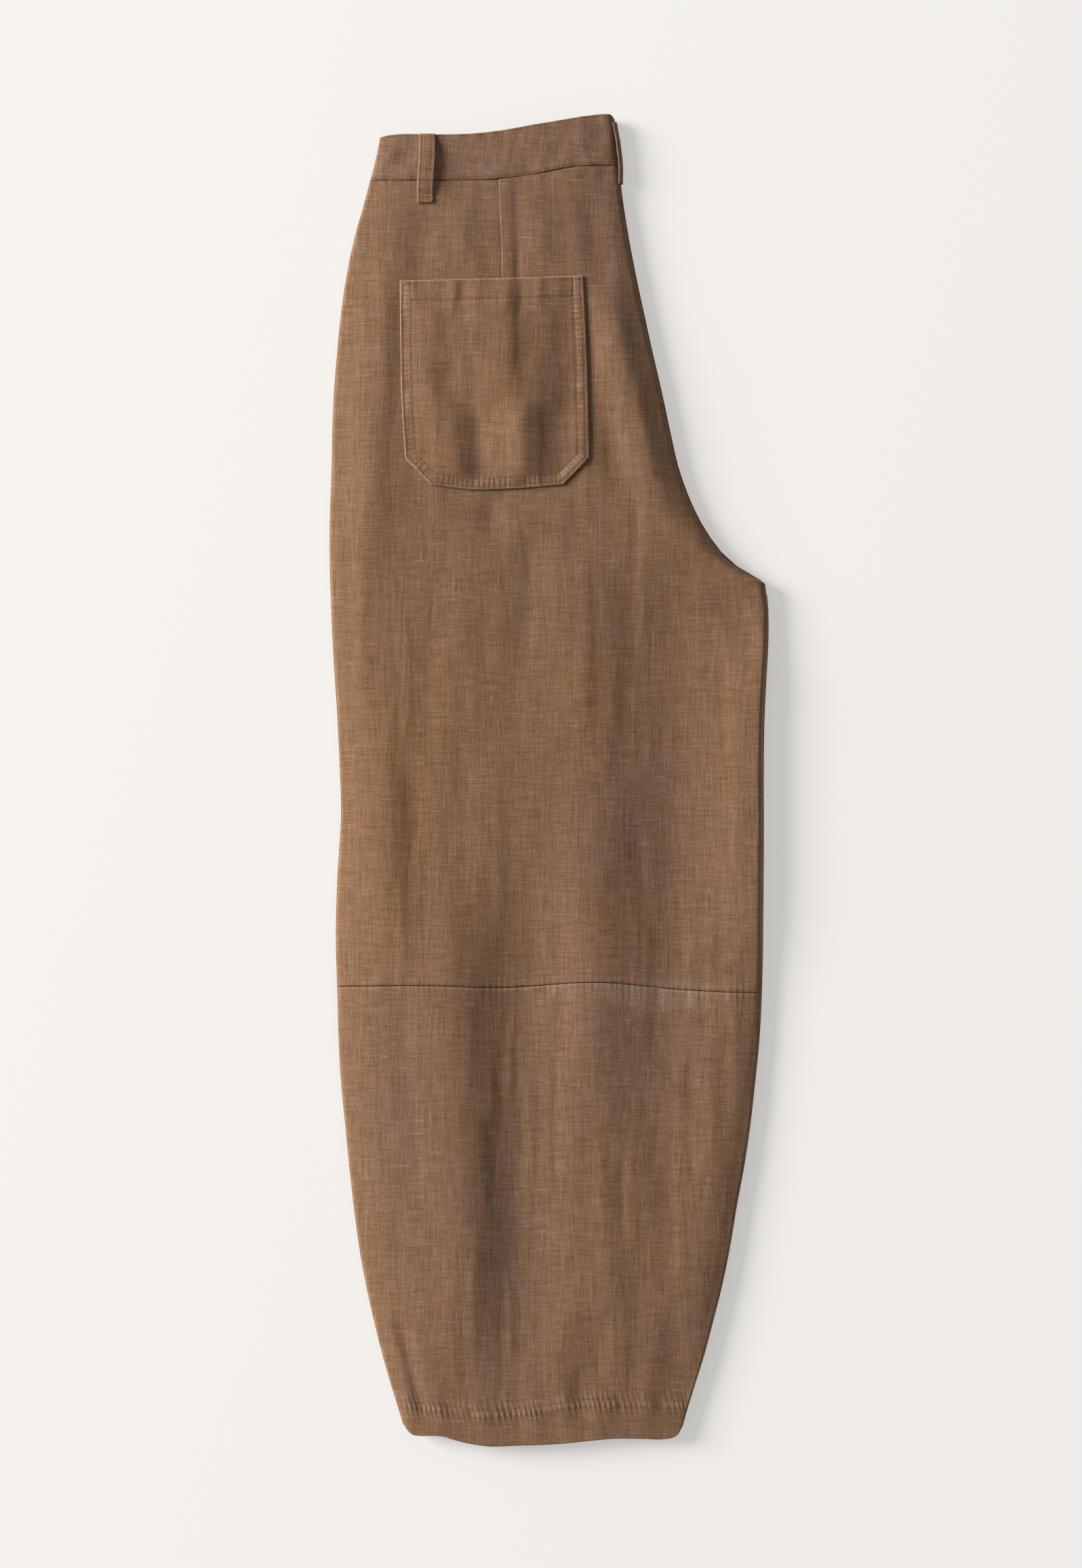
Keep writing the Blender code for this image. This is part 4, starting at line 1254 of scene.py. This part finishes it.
FAR_INSET = 1.2 * MM
HIDDEN_CLOTH = 1.0 * MM
UNDER_BACK = 1.6 * MM
HIDDEN_ROWS = 90
HIDDEN_COLUMNS = 44

# The hidden layers' cloth, darkened all over with painted shade, as they lie under the back
shaded_inner_linen = linen("inner linen", shade=0.86)


def layer(name, low, high, z_at, edge_z, curl_to, inset, area):
    """One hidden layer: its middle lies at z_at, and its sides curl to edge_z."""
    flat = Lie(low, high, np.linspace(0, 1, HIDDEN_ROWS), HIDDEN_COLUMNS, -inset)
    body = z_at(flat)
    left = roll_drop((flat.x - flat.left) / LEG_ROLL)
    right = roll_drop((flat.right - flat.x) / flat.right_reach)
    away = soft_step(np.minimum(flat.x - flat.left, flat.right - flat.x) / (9 * MM))
    level = blend(edge_z, body, away)
    z = level + (curl_to - level) * np.maximum(left, right)
    piece = cloth_grid(name, stack_points(flat.x, flat.up, z), flat.x, flat.up)
    paint(piece, worn=0, mauve=0, deep=0)
    give_thickness(piece, HIDDEN_CLOTH, 0)
    finish_cloth(piece, shaded_inner_linen)
    return piece


def middle_of(lie, share):
    """A height between the floor and the upper skin, the same share of it everywhere."""
    return share * (loft_height(lie.x, lie.up, lie.left, lie.right) - UNDER_BACK)


layer(
    "near_front", line(HEM_LINE, 1.0 * MM), line(TOP_LINE, -24 * MM),
    lambda lie: middle_of(lie, 0.66), LEG_EDGE + 0.9 * MM, 6.1 * MM, 0.0, 0.27,
)
layer(
    "far_front", line(HEM_LINE, 2.0 * MM), line(TOP_LINE, -25 * MM),
    lambda lie: middle_of(lie, 0.42), LEG_EDGE - 0.7 * MM, 2.2 * MM, FAR_INSET, 0.27,
)
far_back = layer(
    "far_back", line(HEM_LINE, 2.5 * MM), line(TOP_LINE, -1.0 * MM),
    lambda lie: np.full_like(lie.x, 0.55 * MM), 0.55 * MM, 2.0 * MM, FAR_INSET, 0.28,
)
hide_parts("hidden_layers")

# Floor, light and camera
# A pale, plain surface with one wide soft light from the upper left, seen straight down.

FLOOR_SIZE = 12
FLOOR_GAP = 0.4 * MM
FLOOR_BASE = (0.43, 0.42, 0.41, 1)
FLOOR_GLOW = (1.0, 0.975, 0.945, 1)
FLOOR_GLOW_STRENGTH = 0.45
WORLD_COLOUR = (1.0, 0.985, 0.97, 1)
WORLD_LIGHT = 0.28
KEY_PLACE = (-11.2, 3.6, 4.4)
KEY_SIZE = 6.5
KEY_POWER = 3560
KEY_COLOUR = (1.0, 0.992, 0.975)

bpy.ops.mesh.primitive_plane_add(size=FLOOR_SIZE, location=(0, 0, -FLOOR_GAP))
floor = bpy.context.object
floor.name = "floor"
floor_paint = bpy.data.materials.new("pale floor")
floor_paint.use_nodes = True
floor_shader = floor_paint.node_tree.nodes["Principled BSDF"]
floor_shader.inputs["Base Color"].default_value = FLOOR_BASE
floor_shader.inputs["Emission Color"].default_value = FLOOR_GLOW
floor_shader.inputs["Emission Strength"].default_value = FLOOR_GLOW_STRENGTH
floor_shader.inputs["Roughness"].default_value = 0.9
floor_shader.inputs["Specular IOR Level"].default_value = 0.1
floor.data.materials.append(floor_paint)

world = bpy.data.worlds.new("studio")
bpy.context.scene.world = world
world.use_nodes = True
background = world.node_tree.nodes["Background"]
background.inputs["Color"].default_value = WORLD_COLOUR
background.inputs["Strength"].default_value = WORLD_LIGHT

bpy.ops.object.light_add(type="AREA", location=KEY_PLACE)
key_light = bpy.context.object
key_light.name = "key light"
key_light.data.shape = "DISK"
key_light.data.size = KEY_SIZE
key_light.data.energy = KEY_POWER
key_light.data.color = KEY_COLOUR
key_light.rotation_euler = Vector(KEY_PLACE).to_track_quat("Z", "Y").to_euler()

bpy.context.scene.view_settings.view_transform = "Standard"
bpy.context.scene.cycles.denoising_prefilter = "NONE"

PHOTO_PIXEL = 0.51 * MM
PHOTO_SIZE = (1596, 2313)
GARMENT_MIDDLE = (810, 1150.6)
LENS = 90
SENSOR = 36
bpy.ops.object.camera_add()
camera = bpy.context.object
camera.data.sensor_width = SENSOR
camera.data.sensor_fit = "AUTO"
camera.data.lens = LENS
height_in_view = PHOTO_SIZE[1] * PHOTO_PIXEL
distance = height_in_view * LENS / SENSOR
photo_middle = (PHOTO_SIZE[0] / 2, PHOTO_SIZE[1] / 2)
camera.location = (
    (photo_middle[0] - GARMENT_MIDDLE[0]) * PHOTO_PIXEL,
    (GARMENT_MIDDLE[1] - photo_middle[1]) * PHOTO_PIXEL,
    distance + EDGE_TOP,
)
camera.data.clip_end = 30
bpy.context.scene.camera = camera
